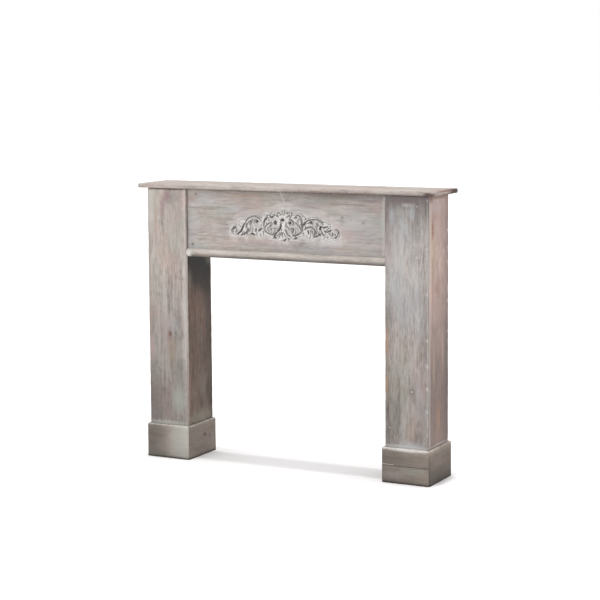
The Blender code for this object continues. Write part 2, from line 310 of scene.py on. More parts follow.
stain_group, stain_in, stain_out = new_group(
    "Stain",
    [("Place", "Vector", None), ("Centre", "Vector", (0, 0, 0)),
     ("Size", "Vector", (0.05, 0.05, 0.05)), ("Raggedness", "Float", 0.5)],
    [("Cover", "Float")],
)
scaled = centred(stain_in["Place"], stain_in["Centre"], stain_in["Size"])
ragged = noise_of(stain_in["Place"], 85.0, 4.0, 0.6)
ragged = times(minus(ragged, 0.5), stain_in["Raggedness"])
ragged = plus(length_of(scaled), times(ragged, 2.0))
link(remap(ragged, 1.15, 0.15), stain_out["Cover"])
print("knot group:", len(knot_group.nodes), "nodes, stain group:", len(stain_group.nodes), "nodes")

# %% [markdown]
# ## Wear, thick paint, dirt and painted shade from the mesh
#
# A finished board carries three attributes. Arris is one on an eased edge and zero on the flat,
# and noise breaks it up so that the wear comes and goes. Paint marks brush strokes and smears of
# thicker white. The third marks dark lines, partly dirt and partly painted shade: along the
# skirtings' foot, in the skirting's crack, and at the carving's foot and in its grooves and channels.

# %% Build the marks group
marks_group, marks_in, marks_out = new_group(
    "Board marks",
    [("Place", "Vector", None), ("Wear", "Float", 0.5)],
    [("Worn", "Float"), ("Paint", "Float"), ("Dirt and shade", "Float")],
)
arris = add_node(marks_group, "ShaderNodeAttribute", attribute_name="arris").outputs["Fac"]
broken = minus(noise_of(marks_in["Place"], 42.0, 4.0, 0.6), 0.5)
worn = remap(plus(arris, times(broken, 1.3)), 0.50, 1.0)
link(times(worn, marks_in["Wear"]), marks_out["Worn"])
fleck = noise_of(marks_in["Place"], 170.0, 4.0, 0.6)
for label, attribute, low in (("Paint", "paint", 0.55), ("Dirt and shade", "dirt_and_shade", 0.75)):
    near = add_node(marks_group, "ShaderNodeAttribute", attribute_name=attribute).outputs["Fac"]
    mask = times(near, remap(fleck, 0.30, 0.58, low, 1.0), clamp=True)
    link(mask, marks_out[label])
print("marks group:", len(marks_group.nodes), "nodes")

# %% [markdown]
# ## The finish of a board
#
# Every board gets its own mix: the colours of its wood and of its thin paint, how much paint is
# left, how streaky it is, which tints it shows, how its tone runs along and across it, and where
# its knots and stains lie. The colours are linear.

# %% Define the board finish
WOOD = ((0.085, 0.062, 0.049, 1), (0.255, 0.198, 0.160, 1))
WASH = (0.425, 0.390, 0.366, 1)
PINK_WASH = (0.510, 0.380, 0.342, 1)
PLINTH_WASH = (0.318, 0.283, 0.254, 1)
PINK = (0.430, 0.290, 0.270, 1)
GREEN = (0.285, 0.312, 0.255, 1)
BLUE = (0.375, 0.400, 0.425, 1)
SMOKE = (0.120, 0.106, 0.098, 1)
OCHRE = (0.330, 0.215, 0.130, 1)
RUST = (0.260, 0.120, 0.080, 1)
PALE = (0.620, 0.585, 0.555, 1)
THICK_PAINT = (0.600, 0.580, 0.565, 1)
# Near black for knots, cracks and dirt, and also for painted shade: the shelf's shadow line and the dark
# lines at feet and in the carving.
DARK_STAIN_AND_SHADE = (0.035, 0.027, 0.022, 1)
RIGHTWARDS = (1, 0, 0)
BACKWARDS = (0, 1, 0)
UP = (0, 0, 1)


def along_grain(place, grain, seed):
    """Object coordinates turned to have Z along the grain, and shifted so that no two boards match."""
    turns = {"X": (0, math.pi / 2, 0), "Y": (math.pi / 2, 0, 0), "Z": (0, 0, 0)}
    turned = add_node(tree_of(place), "ShaderNodeMapping", {"Vector": place, "Rotation": turns[grain]})
    return stretch(turned.outputs["Vector"], (1, 1, 1), (seed * 1.37, seed * 0.71, seed * 2.13))


def tone_shade(place, direction, start, end, stops):
    """A grey ramp between two places along a direction.

    The stops are shares of the way and the brightness at each."""
    along = vector_maths("DOT_PRODUCT", place, direction)["Value"]
    wander = times(minus(noise_of(place, 16.0, 2.0), 0.5), 0.10 * (end - start))
    share = remap(plus(along, wander), start, end, smooth=False)
    ramp = add_node(tree_of(share), "ShaderNodeValToRGB", {"Fac": share})
    for position, brightness in stops[1:-1]:
        ramp.color_ramp.elements.new(position)
    for element, (position, brightness) in zip(ramp.color_ramp.elements, stops):
        element.position = position
        element.color = (brightness, brightness, brightness, 1)
    return ramp.outputs["Color"]


def board_finish(name, grain, seed, amount, uneven=0.6, streaky=1.0, wash=WASH, wood=WOOD,
                 tints=(0.3, 0.3, 0.3, 0.2), tones=(), stains=(), knots=(), wear=0.4, wear_colour=PALE):
    """A whitewashed wood material.

    Each tone is a direction, two places along it and stops of brightness. A tone with a fifth
    item, the X of a face, is kept to that face."""
    material, tree, shader, place = new_material(name)
    along = along_grain(place, grain, seed)
    masks = use_group(tree, grain_group, {"Along grain": along})
    washed = use_group(tree, wash_group, {
        "Along grain": along, "Streaks": masks["Streaks"], "Rings": masks["Rings"],
        "Amount": amount, "Unevenness": uneven, "Streakiness": streaky,
    })
    cover = washed["Cover"]
    streaks = remap(masks["Streaks"], 0.0, 1.0, 0.5 - 0.5 * streaky, 0.5 + 0.5 * streaky, smooth=False)
    colour = mix_colour(streaks, wood[0], wood[1])
    colour = mix_colour(times(masks["Rings"], 0.25), colour, wood[1])
    colour = mix_colour(cover, colour, wash)
    for label, tint, share in zip(("Pink", "Green", "Blue", "Smoke"), (PINK, GREEN, BLUE, SMOKE), tints):
        colour = mix_colour(times(washed[label], share), colour, tint)
    colour = mix_colour(times(masks["Pores"], 0.30 * streaky), colour, wood[0])
    # Tone ramps set brightness along a board; several are painted light and shade, such as fronts paler
    # higher up and shade under the shelf and frieze.
    for direction, start, end, stops, *face_x in tones:
        share = 1.0
        if face_x:
            away = minus(split(place)["X"], face_x[0])
            share = remap(maths("ABSOLUTE", away), 0.008, 0.004)
        tone = tone_shade(place, direction, start, end, stops)
        colour = mix_colour(share, colour, tone, "MULTIPLY")
    for centre, size, stain_colour, share in stains:
        stain = use_group(tree, stain_group, {"Place": place, "Centre": centre, "Size": size})["Cover"]
        colour = mix_colour(times(stain, share), colour, stain_colour)
    height = masks["Height"]
    for centre, size, square, ring_colour, share in knots:
        sockets = {"Place": place, "Centre": centre, "Size": size, "Squareness": square}
        knot = use_group(tree, knot_group, sockets)
        colour = mix_colour(times(knot["Shadow"], 0.35 * share), colour, wood[0])
        colour = mix_colour(times(knot["Ring"], share), colour, ring_colour)
        colour = mix_colour(times(knot["Heart"], square * share), colour, PALE)
        colour = mix_colour(times(knot["Heart"], (1 - square) * share), colour, ring_colour)
        height = minus(height, times(knot["Ring"], 0.5 * share))
    marks = use_group(tree, marks_group, {"Place": place, "Wear": wear})
    colour = mix_colour(marks["Worn"], colour, wear_colour)
    colour = mix_colour(marks["Paint"], colour, THICK_PAINT)
    # Dark lines of dirt, partly painted shade at the skirtings' foot and round the carving.
    colour = mix_colour(marks["Dirt and shade"], colour, DARK_STAIN_AND_SHADE)
    link(colour, shader.inputs["Base Color"])
    link(remap(cover, 0.0, 1.0, 0.58, 0.82, smooth=False), shader.inputs["Roughness"])
    strength = 0.15 + 0.30 * streaky
    bump = add_node(tree, "ShaderNodeBump", {"Strength": strength, "Distance": 0.0012, "Height": height})
    link(bump.outputs["Normal"], shader.inputs["Normal"])
    shader.inputs["Specular IOR Level"].default_value = 0.32
    return material


def on_face(axis, level, depth, rows):
    """Stains on a face, which is given by an axis and the face's place along it.

    Depth is how far they go in. Each row has the centre's other two coordinates, the two half
    sizes there, the colour and the share."""
    across = "XYZ".index(axis)
    stains = []
    for *numbers, colour, share in rows:
        centre, size = numbers[:2], numbers[2:]
        centre.insert(across, level)
        size.insert(across, depth)
        stains.append((centre, size, colour, share))
    return stains


print("the board finish is defined")


# %% [markdown]
# ## A board with eased arrises
#
# A cube is drawn out to the board's size, its arrises are bevelled, and its long edges are cut so
# that noise can make the faces slightly uneven and eat into the arrises, as planing and knocks do.

# %% Board tools
CELL = 0.005
STRAIGHT_SHARE = 0.97
FACE_REACH = 0.004


def select_only(obj):
    bpy.ops.object.select_all(action="DESELECT")
    obj.select_set(True)
    bpy.context.view_layer.objects.active = obj


def edit(obj, select, kind="EDGE"):
    """Enters edit mode on one object with only the chosen edges or faces selected."""
    bpy.ops.object.mode_set(mode="OBJECT")
    select_only(obj)
    mesh = obj.data
    corners = [vertex.co.copy() for vertex in mesh.vertices]
    for group in (mesh.vertices, mesh.edges, mesh.polygons):
        group.foreach_set("select", [False] * len(group))
    for item in mesh.edges if kind == "EDGE" else mesh.polygons:
        if select([corners[index] for index in item.vertices]):
            item.select = True
    bpy.context.tool_settings.mesh_select_mode = (False, kind == "EDGE", kind == "FACE")
    bpy.ops.object.mode_set(mode="EDIT")


def leave_edit():
    bpy.ops.object.mode_set(mode="OBJECT")


def everything(corners):
    return True


def block(name, low, high):
    """A cube primitive drawn out between two corners, its place in its mesh."""
    bpy.ops.object.select_all(action="DESELECT")
    low, high = Vector(low), Vector(high)
    bpy.ops.mesh.primitive_cube_add(size=1, location=(low + high) / 2)
    obj = bpy.context.object
    obj.name = name
    obj.scale = high - low
    bpy.ops.object.transform_apply(location=True, rotation=False, scale=True)
    return obj


def slice_at(obj, point, normal):
    """Cuts every face that a plane crosses."""
    edit(obj, everything, "FACE")
    bpy.ops.mesh.bisect(plane_co=point, plane_no=normal)
    leave_edit()


def ease_arrises(obj, width, segments=3, chosen=everything):
    edit(obj, chosen)
    bpy.ops.mesh.bevel(offset=width, segments=segments, affect="EDGES", profile=0.55, clamp_overlap=True)
    leave_edit()


def cut_long_edges(obj, cell, cell_at=None):
    """Cuts the long edges along each axis so that the faces become a grid.

    cell_at can give another cell size for an axis and a place along it."""
    for axis in range(3):
        spans = set()
        for edge in obj.data.edges:
            ends = [obj.data.vertices[index].co for index in edge.vertices]
            span = ends[1] - ends[0]
            if abs(span[axis]) > STRAIGHT_SHARE * span.length:
                spans.add(tuple(sorted(round(end[axis], 5) for end in ends)))
        for start, end in sorted(spans):
            size = cell_at(axis, (start + end) / 2) if cell_at else cell
            cuts = int((end - start) / size)
            if end - start < 1.6 * size or not cuts:
                continue

            def in_span(corners):
                values = sorted(corner[axis] for corner in corners)
                straight = (corners[1] - corners[0]).length * STRAIGHT_SHARE < values[1] - values[0]
                return straight and abs(values[0] - start) < 2e-5 and abs(values[1] - end) < 2e-5

            edit(obj, in_span)
            bpy.ops.mesh.subdivide(number_cuts=cuts)
            leave_edit()


def triangles(obj):
    return sum(len(face.vertices) - 2 for face in obj.data.polygons)


def new_object(name, data):
    obj = bpy.data.objects.new(name, data)
    scene.collection.objects.link(obj)
    return obj


def vertex_places(obj):
    places = np.empty(len(obj.data.vertices) * 3)
    obj.data.vertices.foreach_get("co", places)
    return places.reshape(-1, 3)


def store(obj, name, values):
    """Stores one number for each vertex, keeping the larger one where the attribute is there already."""
    attribute = obj.data.attributes.get(name)
    if attribute:
        before = np.empty(len(values))
        attribute.data.foreach_get("value", before)
        values = np.maximum(values, before)
    else:
        attribute = obj.data.attributes.new(name, "FLOAT", "POINT")
    attribute.data.foreach_set("value", values)


def mark_arrises(obj, low, high, reach):
    """Stores how near each vertex is to an arris of the box, from zero to one."""
    places = vertex_places(obj)
    depths = np.minimum(np.abs(places - np.array(low)), np.abs(np.array(high) - places))
    depths = np.sort(depths, axis=1)
    nearness = np.clip(1 - depths[:, 1] / reach, 0, 1)
    store(obj, "arris", nearness)


def weather(obj, seed, grain, flat=0.00030, edge=0.0014):
    """Moves vertices inwards by noise: a little on the faces, along the grain, and more on the arrises."""
    mesh = obj.data
    axis = "XYZ".index(grain)
    nearness = np.empty(len(mesh.vertices))
    mesh.attributes["arris"].data.foreach_get("value", nearness)
    shift = Vector((seed * 3.1, seed * 1.7, seed * 0.9))
    normals = [vertex.normal.copy() for vertex in mesh.vertices]
    for vertex, normal, near in zip(mesh.vertices, normals, nearness):
        squeezed = vertex.co * 90.0
        squeezed[axis] *= 0.12
        depth = flat * (0.5 + 0.5 * noise.noise(squeezed + shift))
        if near > 0.35:
            chips = 0.5 + 0.5 * noise.noise(vertex.co * 38.0 + shift)
            depth += edge * near * max(0.0, chips - 0.35) * 1.6
        vertex.co -= normal * depth


def brush_marks(obj, axes, marks, level):
    """Stores soft strokes on one face.

    Each mark has its two ends in the plane of the axes, its half width and its strength. The
    level is the face's place along the third axis."""
    across = next(number for number in range(3) if "XYZ"[number] not in axes)
    on_level = np.abs(vertex_places(obj)[:, across] - level) < FACE_REACH
    places = vertex_places(obj)[:, ["XYZ".index(axis) for axis in axes]]
    total = np.zeros(len(places))
    for start, end, width, strength in marks:
        start, end = np.array(start), np.array(end)
        run = end - start
        share = np.clip(((places - start) @ run) / max(run @ run, 1e-9), 0, 1)
        gap = np.hypot(*(places - (start + share[:, None] * run)).T)
        total = np.maximum(total, strength * np.clip(1.5 - gap / width, 0, 1))
    store(obj, "paint", total * on_level)


def shade(obj, material, angle=40):
    obj.data.materials.clear()
    obj.data.materials.append(material)
    select_only(obj)
    bpy.ops.object.shade_smooth_by_angle(angle=math.radians(angle))
    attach(obj, "root")


def leg_board(node, seed, amount, uneven, streaky, marks=(), axes="XZ", **finish):
    """A board with upright grain and its own finish. Marks lie on its front or its right face."""
    material = board_finish(node + "_wood", "Z", seed, amount, uneven, streaky, **finish)
    low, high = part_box(node)
    board = block(node + "_finished", low, high)
    ease_arrises(board, 0.0022)
    cut_long_edges(board, CELL)
    mark_arrises(board, low, high, 0.005)
    brush_marks(board, axes, marks, low.y if axes == "XZ" else high.x)
    weather(board, seed, "Z")
    shade(board, material)
    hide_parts(node)
    print(f"{board.name}: {triangles(board)} triangles")


# %% [markdown]
# ## Nail holes
#
# White filler stands in the nail holes along the right leg's front corner and its back edge, and
# a little of it is smeared over the boards round each hole.

# %% Name the nail holes
CORNER_NAILS = (0.9686, 0.8046, 0.6531, 0.4974, 0.4091, 0.3307, 0.2521, 0.1733)
BACK_NAILS = (0.8563, 0.7529, 0.6145, 0.5103)
FRONT_NAILS = ((0.5110, 0.9480), (0.5107, 0.7760), (0.4090, 0.1900))

right_low, right_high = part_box("right_leg_front")
outer_low, outer_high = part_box("right_leg_outer")
corner_x = right_high.x
side_front_y, side_back_y = outer_low.y, outer_high.y
front_smears = [((corner_x - 0.004, z), (corner_x, z), 0.0028, 0.6) for z in CORNER_NAILS]
front_smears += [((x - 0.001, z), (x + 0.001, z), 0.0026, 0.5) for x, z in FRONT_NAILS]
front_smears += [((0.4600, 0.9490), (0.5100, 0.9475), 0.0036, 0.80)]
front_smears += [((corner_x, 0.20), (corner_x, 0.96), 0.0030, 0.16)]
side_smears = [
    ((side_front_y - 0.014, z), (side_front_y - 0.002, z + 0.001), 0.0028, 0.5) for z in CORNER_NAILS
]
side_smears += [
    ((side_back_y - 0.012, z - 0.002), (side_back_y - 0.002, z), 0.0025, 0.5) for z in BACK_NAILS
]
side_smears += [((0.055, 0.788), (0.094, 0.796), 0.0018, 0.5)]
print("nail holes:", len(CORNER_NAILS) + len(BACK_NAILS) + len(FRONT_NAILS))

# %% [markdown]
# ## Legs
#
# Each leg is a box of three boards with upright grain. The left leg is pinker at the top and greyer
# at the foot, and the right leg shows blue-grey brush marks and a pink-brown side with ochre streaks.
# Both fronts are painted paler higher up and darker at the foot, as light from above falls, and painted
# shadow of the shelf darkens the tops of the fronts and of the right side. The boards towards the
# opening keep hardly any paint, and painted shade darkens them towards the top, strongly on the left
# one where the frieze shades the opening, and mildly on the right one.

# %% Make the leg boards
FRONT_Y = right_low.y
OPENING_X = round(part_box("left_leg_inner")[1].x, 4)
SIDE_X = outer_high.x
LEG_LINE_Z = 0.55
LEG_FOOT_Z = 0.10
LEG_TOP_Z = 0.98

leg_board(
    "left_leg_front", 1, 0.64, 0.66, 1.05, tints=(0.34, 0.40, 0.10, 0.14),
    tones=[
        # Painted light: brighter towards the top, as light from above falls, and darker towards the foot.
        (UP, LEG_FOOT_Z, LEG_TOP_Z, [
            (0, 0.68), (0.15, 0.66), (0.3, 0.81), (0.42, 0.88),
            (0.55, 1.02), (0.75, 1.15), (0.93, 1.13), (1, 1.22),
        ]),
        (RIGHTWARDS, -0.550, -0.392, [
            (0, 0.93), (0.25, 0.97), (0.42, 1.04), (0.6, 0.93), (0.85, 0.95), (1, 1.22),
        ]),
    ],
    stains=on_face("Y", FRONT_Y, 0.05, [
        (-0.550, 0.170, 0.085, 0.240, SMOKE, 0.64),
        (-0.550, 0.930, 0.045, 0.160, PALE, 0.42),
        (-0.550, LEG_LINE_Z, 0.012, 2.0, SMOKE, 0.25),
        (-0.398, 0.50, 0.016, 0.30, PALE, 0.24),
    ]) + on_face("Y", FRONT_Y, 0.03, [
        (-0.4900, 0.740, 0.030, 0.060, OCHRE, 0.20),
        (-0.5300, 0.600, 0.020, 0.070, GREEN, 0.30),
        (-0.5450, 0.520, 0.006, 0.120, OCHRE, 0.35),
        (-0.4150, 0.880, 0.030, 0.100, SMOKE, 0.16),
        (-0.4560, 0.400, 0.024, 0.090, (0.265, 0.205, 0.155, 1), 0.55),
        (-0.4640, 0.455, 0.018, 0.035, (0.190, 0.130, 0.105, 1), 0.45),
        (-0.5400, 0.405, 0.016, 0.060, (0.350, 0.245, 0.250, 1), 0.65),
        (-0.4670, 0.956, 0.022, 0.040, (0.235, 0.160, 0.166, 1), 0.74),
        (-0.4860, 0.913, 0.014, 0.050, (0.250, 0.168, 0.170, 1), 0.68),
        (-0.5250, 0.930, 0.016, 0.060, GREEN, 0.35),
        (-0.4500, 0.480, 0.035, 0.045, BLUE, 0.25),
        (-0.4300, 0.330, 0.030, 0.050, SMOKE, 0.28),
        (-0.4250, 0.215, 0.040, 0.060, (0.325, 0.340, 0.305, 1), 0.55),
        (-0.4710, 0.126, 0.140, 0.014, (0.380, 0.385, 0.350, 1), 0.70),
        (-0.3930, 0.260, 0.006, 0.160, (0.330, 0.235, 0.230, 1), 0.45),
        # Painted shadow of the shelf: a dark line along the top, under the overhang.
        (-0.4710, 0.985, 0.200, 0.0085, DARK_STAIN_AND_SHADE, 0.95),
        (-0.4250, 0.955, 0.050, 0.040, SMOKE, 0.25),
        (-0.5150, 0.870, 0.012, 0.080, OCHRE, 0.25),
    ]),
    knots=[
        ((-0.4617, FRONT_Y, 0.4561), (0.0058, 0.006, 0.0075), 0.0, (0.150, 0.075, 0.058, 1), 0.80),
        ((-0.4400, FRONT_Y, 0.4600), (0.0035, 0.006, 0.0045), 0.0, SMOKE, 0.55),
        ((-0.4130, FRONT_Y, 0.6590), (0.0080, 0.006, 0.0035), 0.7, SMOKE, 0.45),
        ((-0.4330, FRONT_Y, 0.6640), (0.0060, 0.006, 0.0030), 0.7, SMOKE, 0.35),
    ],
    wear=0.25,
)

INNER_WOOD = ((0.070, 0.041, 0.028, 1), (0.196, 0.114, 0.080, 1))
INNER_WASH = (0.372, 0.262, 0.204, 1)
leg_board(
    "left_leg_inner", 2, 0.16, 0.75, 0.75, wash=INNER_WASH, wood=INNER_WOOD, tints=(0.26, 0.24, 0.0, 0.20),
    tones=[
        # Painted shadow of the frieze and shelf, on the face towards the opening only: it darkens steeply
        # towards the top, its edge slanting lower towards the back.
        ((0, 0.45, 1), 0.10, 0.77, [
            (0, 0.58), (0.1, 0.62), (0.35, 0.56), (0.45, 0.53), (0.55, 0.56),
            (0.66, 0.69), (0.74, 0.53), (0.81, 0.16), (0.87, 0.07), (1, 0.03),
        ], OPENING_X),
        (BACKWARDS, -0.07, 0.096, [
            (0, 1.20), (0.3, 0.92), (0.5, 0.98), (0.65, 1.00), (0.85, 0.74), (1, 0.42),
        ]),
    ],
    stains=on_face("X", OPENING_X, 0.011, [
        (0.096, LEG_LINE_Z, 0.020, 2.0, (0.075, 0.052, 0.038, 1), 0.40),
        (0.080, 0.718, 0.030, 0.030, (0.200, 0.190, 0.160, 1), 0.36),
        (-0.060, 0.655, 0.020, 0.050, (0.170, 0.140, 0.112, 1), 0.42),
        (0.020, 0.270, 0.040, 0.080, (0.230, 0.190, 0.160, 1), 0.35),
        (0.010, 0.138, 0.120, 0.042, (0.250, 0.238, 0.192, 1), 0.52),
        (0.078, 0.500, 0.034, 0.190, (0.055, 0.038, 0.030, 1), 0.50),
    ]),
    wear=0.2,
)

leg_board(
    "left_leg_outer", 3, 0.56, 0.6, 0.85, tints=(0.30, 0.20, 0.10, 0.20),
    tones=[(UP, LEG_FOOT_Z, 0.80, [(0, 0.78), (1, 1.0)])], wear=0.3,
)

leg_board(
    "right_leg_front", 4, 0.66, 0.74, 1.35, marks=front_smears, tints=(0.30, 0.26, 0.34, 0.24),
    tones=[
        # Painted light and shade: darker at the foot, paler higher up, and painted shadow of the shelf at
        # the very top.
        (UP, LEG_FOOT_Z, LEG_TOP_Z, [
            (0, 0.79), (0.2, 0.78), (0.4, 0.87), (0.55, 0.95), (0.68, 1.05),
            (0.76, 1.07), (0.88, 0.92), (0.95, 0.61), (1, 0.51),
        ]),
        (RIGHTWARDS, 0.392, 0.550, [(0, 0.86), (0.2, 0.96), (0.5, 1.08), (0.75, 1.05), (1, 0.93)]),
    ],
    stains=on_face("Y", FRONT_Y, 0.05, [
        (0.471, 0.750, 0.110, 0.260, (0.400, 0.405, 0.415, 1), 0.25),
    ]) + on_face("Y", FRONT_Y, 0.03, [
        # Painted shadow of the shelf: a dark purple-grey band and a darker line along the top.
        (0.471, 0.985, 0.150, 0.048, (0.128, 0.106, 0.110, 1), 0.64),
        (0.471, 0.985, 0.200, 0.0060, DARK_STAIN_AND_SHADE, 0.80),
        (0.500, 0.860, 0.030, 0.060, SMOKE, 0.28),
        (0.394, 0.330, 0.018, 0.260, (0.190, 0.150, 0.125, 1), 0.40),
        (0.418, 0.912, 0.013, 0.040, BLUE, 0.45),
        (0.440, 0.925, 0.008, 0.030, GREEN, 0.40),
        (0.492, 0.925, 0.016, 0.030, BLUE, 0.45),
        # More painted shadow under the shelf.
        (0.462, 0.967, 0.060, 0.018, (0.140, 0.108, 0.114, 1), 0.55),
        (0.460, 0.880, 0.010, 0.060, BLUE, 0.30),
        (0.400, 0.880, 0.014, 0.120, SMOKE, 0.25),
        (0.515, 0.915, 0.016, 0.080, SMOKE, 0.30),
        (0.495, 0.775, 0.022, 0.055, SMOKE, 0.25),
        (0.435, 0.640, 0.045, 0.120, BLUE, 0.20),
        (0.540, 0.540, 0.014, 0.140, SMOKE, 0.25),
        (0.398, 0.490, 0.014, 0.080, OCHRE, 0.45),
        (0.403, 0.250, 0.006, 0.040, DARK_STAIN_AND_SHADE, 0.50),
        (0.400, 0.340, 0.010, 0.050, OCHRE, 0.50),
        (0.405, 0.175, 0.020, 0.060, SMOKE, 0.25),
        (0.490, 0.190, 0.030, 0.060, OCHRE, 0.20),
        (0.490, 0.130, 0.060, 0.020, BLUE, 0.55),
        (0.471, 0.126, 0.140, 0.010, (0.470, 0.460, 0.450, 1), 0.70),
    ]),
    knots=[((0.4922, FRONT_Y, 0.3193), (0.0095, 0.006, 0.0062), 0.7, SMOKE, 0.60)],
    wear=0.25,
)

leg_board(
    "right_leg_outer", 5, 0.66, 0.62, 0.95, marks=side_smears, axes="YZ",
    wash=PINK_WASH, tints=(0.50, 0.16, 0.0, 0.16),
    tones=[
        (UP, 0.12, LEG_TOP_Z, [
            (0, 0.55), (0.13, 0.46), (0.22, 0.49), (0.35, 0.58), (0.48, 0.72),
            (0.6, 0.99), (0.75, 1.08), (0.9, 0.92), (1, 1.12),
        ]),
        (BACKWARDS, -0.070, 0.096, [(0, 1.12), (0.15, 1.0), (0.45, 1.06), (0.7, 0.93), (1, 0.66)]),
    ],
    stains=on_face("X", SIDE_X, 0.011, [
        (outer_low.y, LEG_LINE_Z, 0.014, 2.0, PALE, 0.30),
        (outer_high.y, LEG_LINE_Z, 0.040, 2.0, SMOKE, 0.20),
        (-0.042, 0.870, 0.012, 0.050, RUST, 0.75),
        (-0.058, 0.820, 0.010, 0.130, (0.500, 0.400, 0.310, 1), 0.60),
        (-0.022, 0.800, 0.010, 0.100, (0.400, 0.330, 0.220, 1), 0.50),
        (-0.010, 0.945, 0.060, 0.030, (0.380, 0.320, 0.330, 1), 0.50),
        (0.040, 0.860, 0.016, 0.090, (0.300, 0.210, 0.190, 1), 0.50),
        (-0.008, 0.665, 0.022, 0.034, RUST, 0.38),
        (0.090, 0.750, 0.014, 0.230, (0.240, 0.160, 0.160, 1), 0.60),
        (-0.030, 0.400, 0.012, 0.120, (0.380, 0.320, 0.230, 1), 0.35),
        (-0.044, 0.640, 0.012, 0.050, RUST, 0.25),
        (-0.034, 0.740, 0.010, 0.120, OCHRE, 0.45),
        (0.008, 0.225, 0.024, 0.085, RUST, 0.30),
        (0.010, 0.210, 0.016, 0.060, OCHRE, 0.50),
        (0.045, 0.450, 0.020, 0.080, PINK, 0.35),
        # Painted shadow under the shelf's overhang, dark brown.
        (0.012, 0.980, 0.120, 0.014, (0.160, 0.100, 0.085, 1), 0.70),
        (-0.060, 0.975, 0.030, 0.022, (0.130, 0.075, 0.062, 1), 0.60),
        # Painted light: a pale band at the foot, lifting the shade where the skirting meets the leg.
        (0.010, 0.124, 0.130, 0.009, (0.470, 0.430, 0.400, 1), 0.70),
    ]),
    wear=0.3, wear_colour=(0.50, 0.41, 0.37, 1),
)

leg_board(
    "right_leg_inner", 6, 0.18, 0.7, 0.75, wash=INNER_WASH, wood=INNER_WOOD, tints=(0.10, 0.12, 0.0, 0.20),
    # Darker towards the top: a milder painted shade, where the frieze and shelf shade the opening.
    tones=[(UP, LEG_FOOT_Z, LEG_TOP_Z, [(0, 0.62), (0.6, 0.66), (1, 0.45)])], wear=0.2,
)

# %% [markdown]
# ## Filler in the nail holes
#
# One small uneven dome of filler is modelled and set in each hole, and the domes are joined.

# %% Add the filler
DOME = 0.0016
DOME_SINK = 0.0002
filler_places = [(corner_x - 0.0018, FRONT_Y + DOME_SINK, z, "front") for z in CORNER_NAILS]
filler_places += [(SIDE_X - DOME_SINK, side_back_y - 0.0065, z, "side") for z in BACK_NAILS]
filler_places += [(x, FRONT_Y + DOME_SINK, z, "front") for x, z in FRONT_NAILS]
domes = []
for number, (x, y, z, way) in enumerate(filler_places):
    bpy.ops.object.select_all(action="DESELECT")
    bpy.ops.mesh.primitive_uv_sphere_add(segments=14, ring_count=8, radius=DOME, location=(x, y, z))
    dome = bpy.context.object
    dome.scale = (1.0, 0.35, 1.2) if way == "front" else (0.35, 1.0, 1.2)
    bpy.ops.object.transform_apply(location=True, rotation=False, scale=True)
    for vertex in dome.data.vertices:
        vertex.co.z += 0.0004 * noise.noise(vertex.co * 500 + Vector((number, 0, 0)))
    domes.append(dome)
select_only(domes[0])
for dome in domes:
    dome.select_set(True)
bpy.ops.object.join()
filler = bpy.context.object
filler.name = "nail_filler"
filler_material, _, shader, place = new_material("white_filler")
chalk = remap(noise_of(place, 500.0, 3.0), 0.3, 0.7)
colour = mix_colour(chalk, (0.48, 0.46, 0.44, 1), (0.66, 0.64, 0.62, 1))
link(colour, shader.inputs["Base Color"])
shader.inputs["Roughness"].default_value = 0.85
shade(filler, filler_material)
print("filler domes:", len(filler_places))

# %% [markdown]
# ## Shelf
#
# The shelf is a thin board with a rounded nose along the front and both ends. Its grain runs from
# end to end. The front arris is rubbed pale, and the right end is stained dark brown.

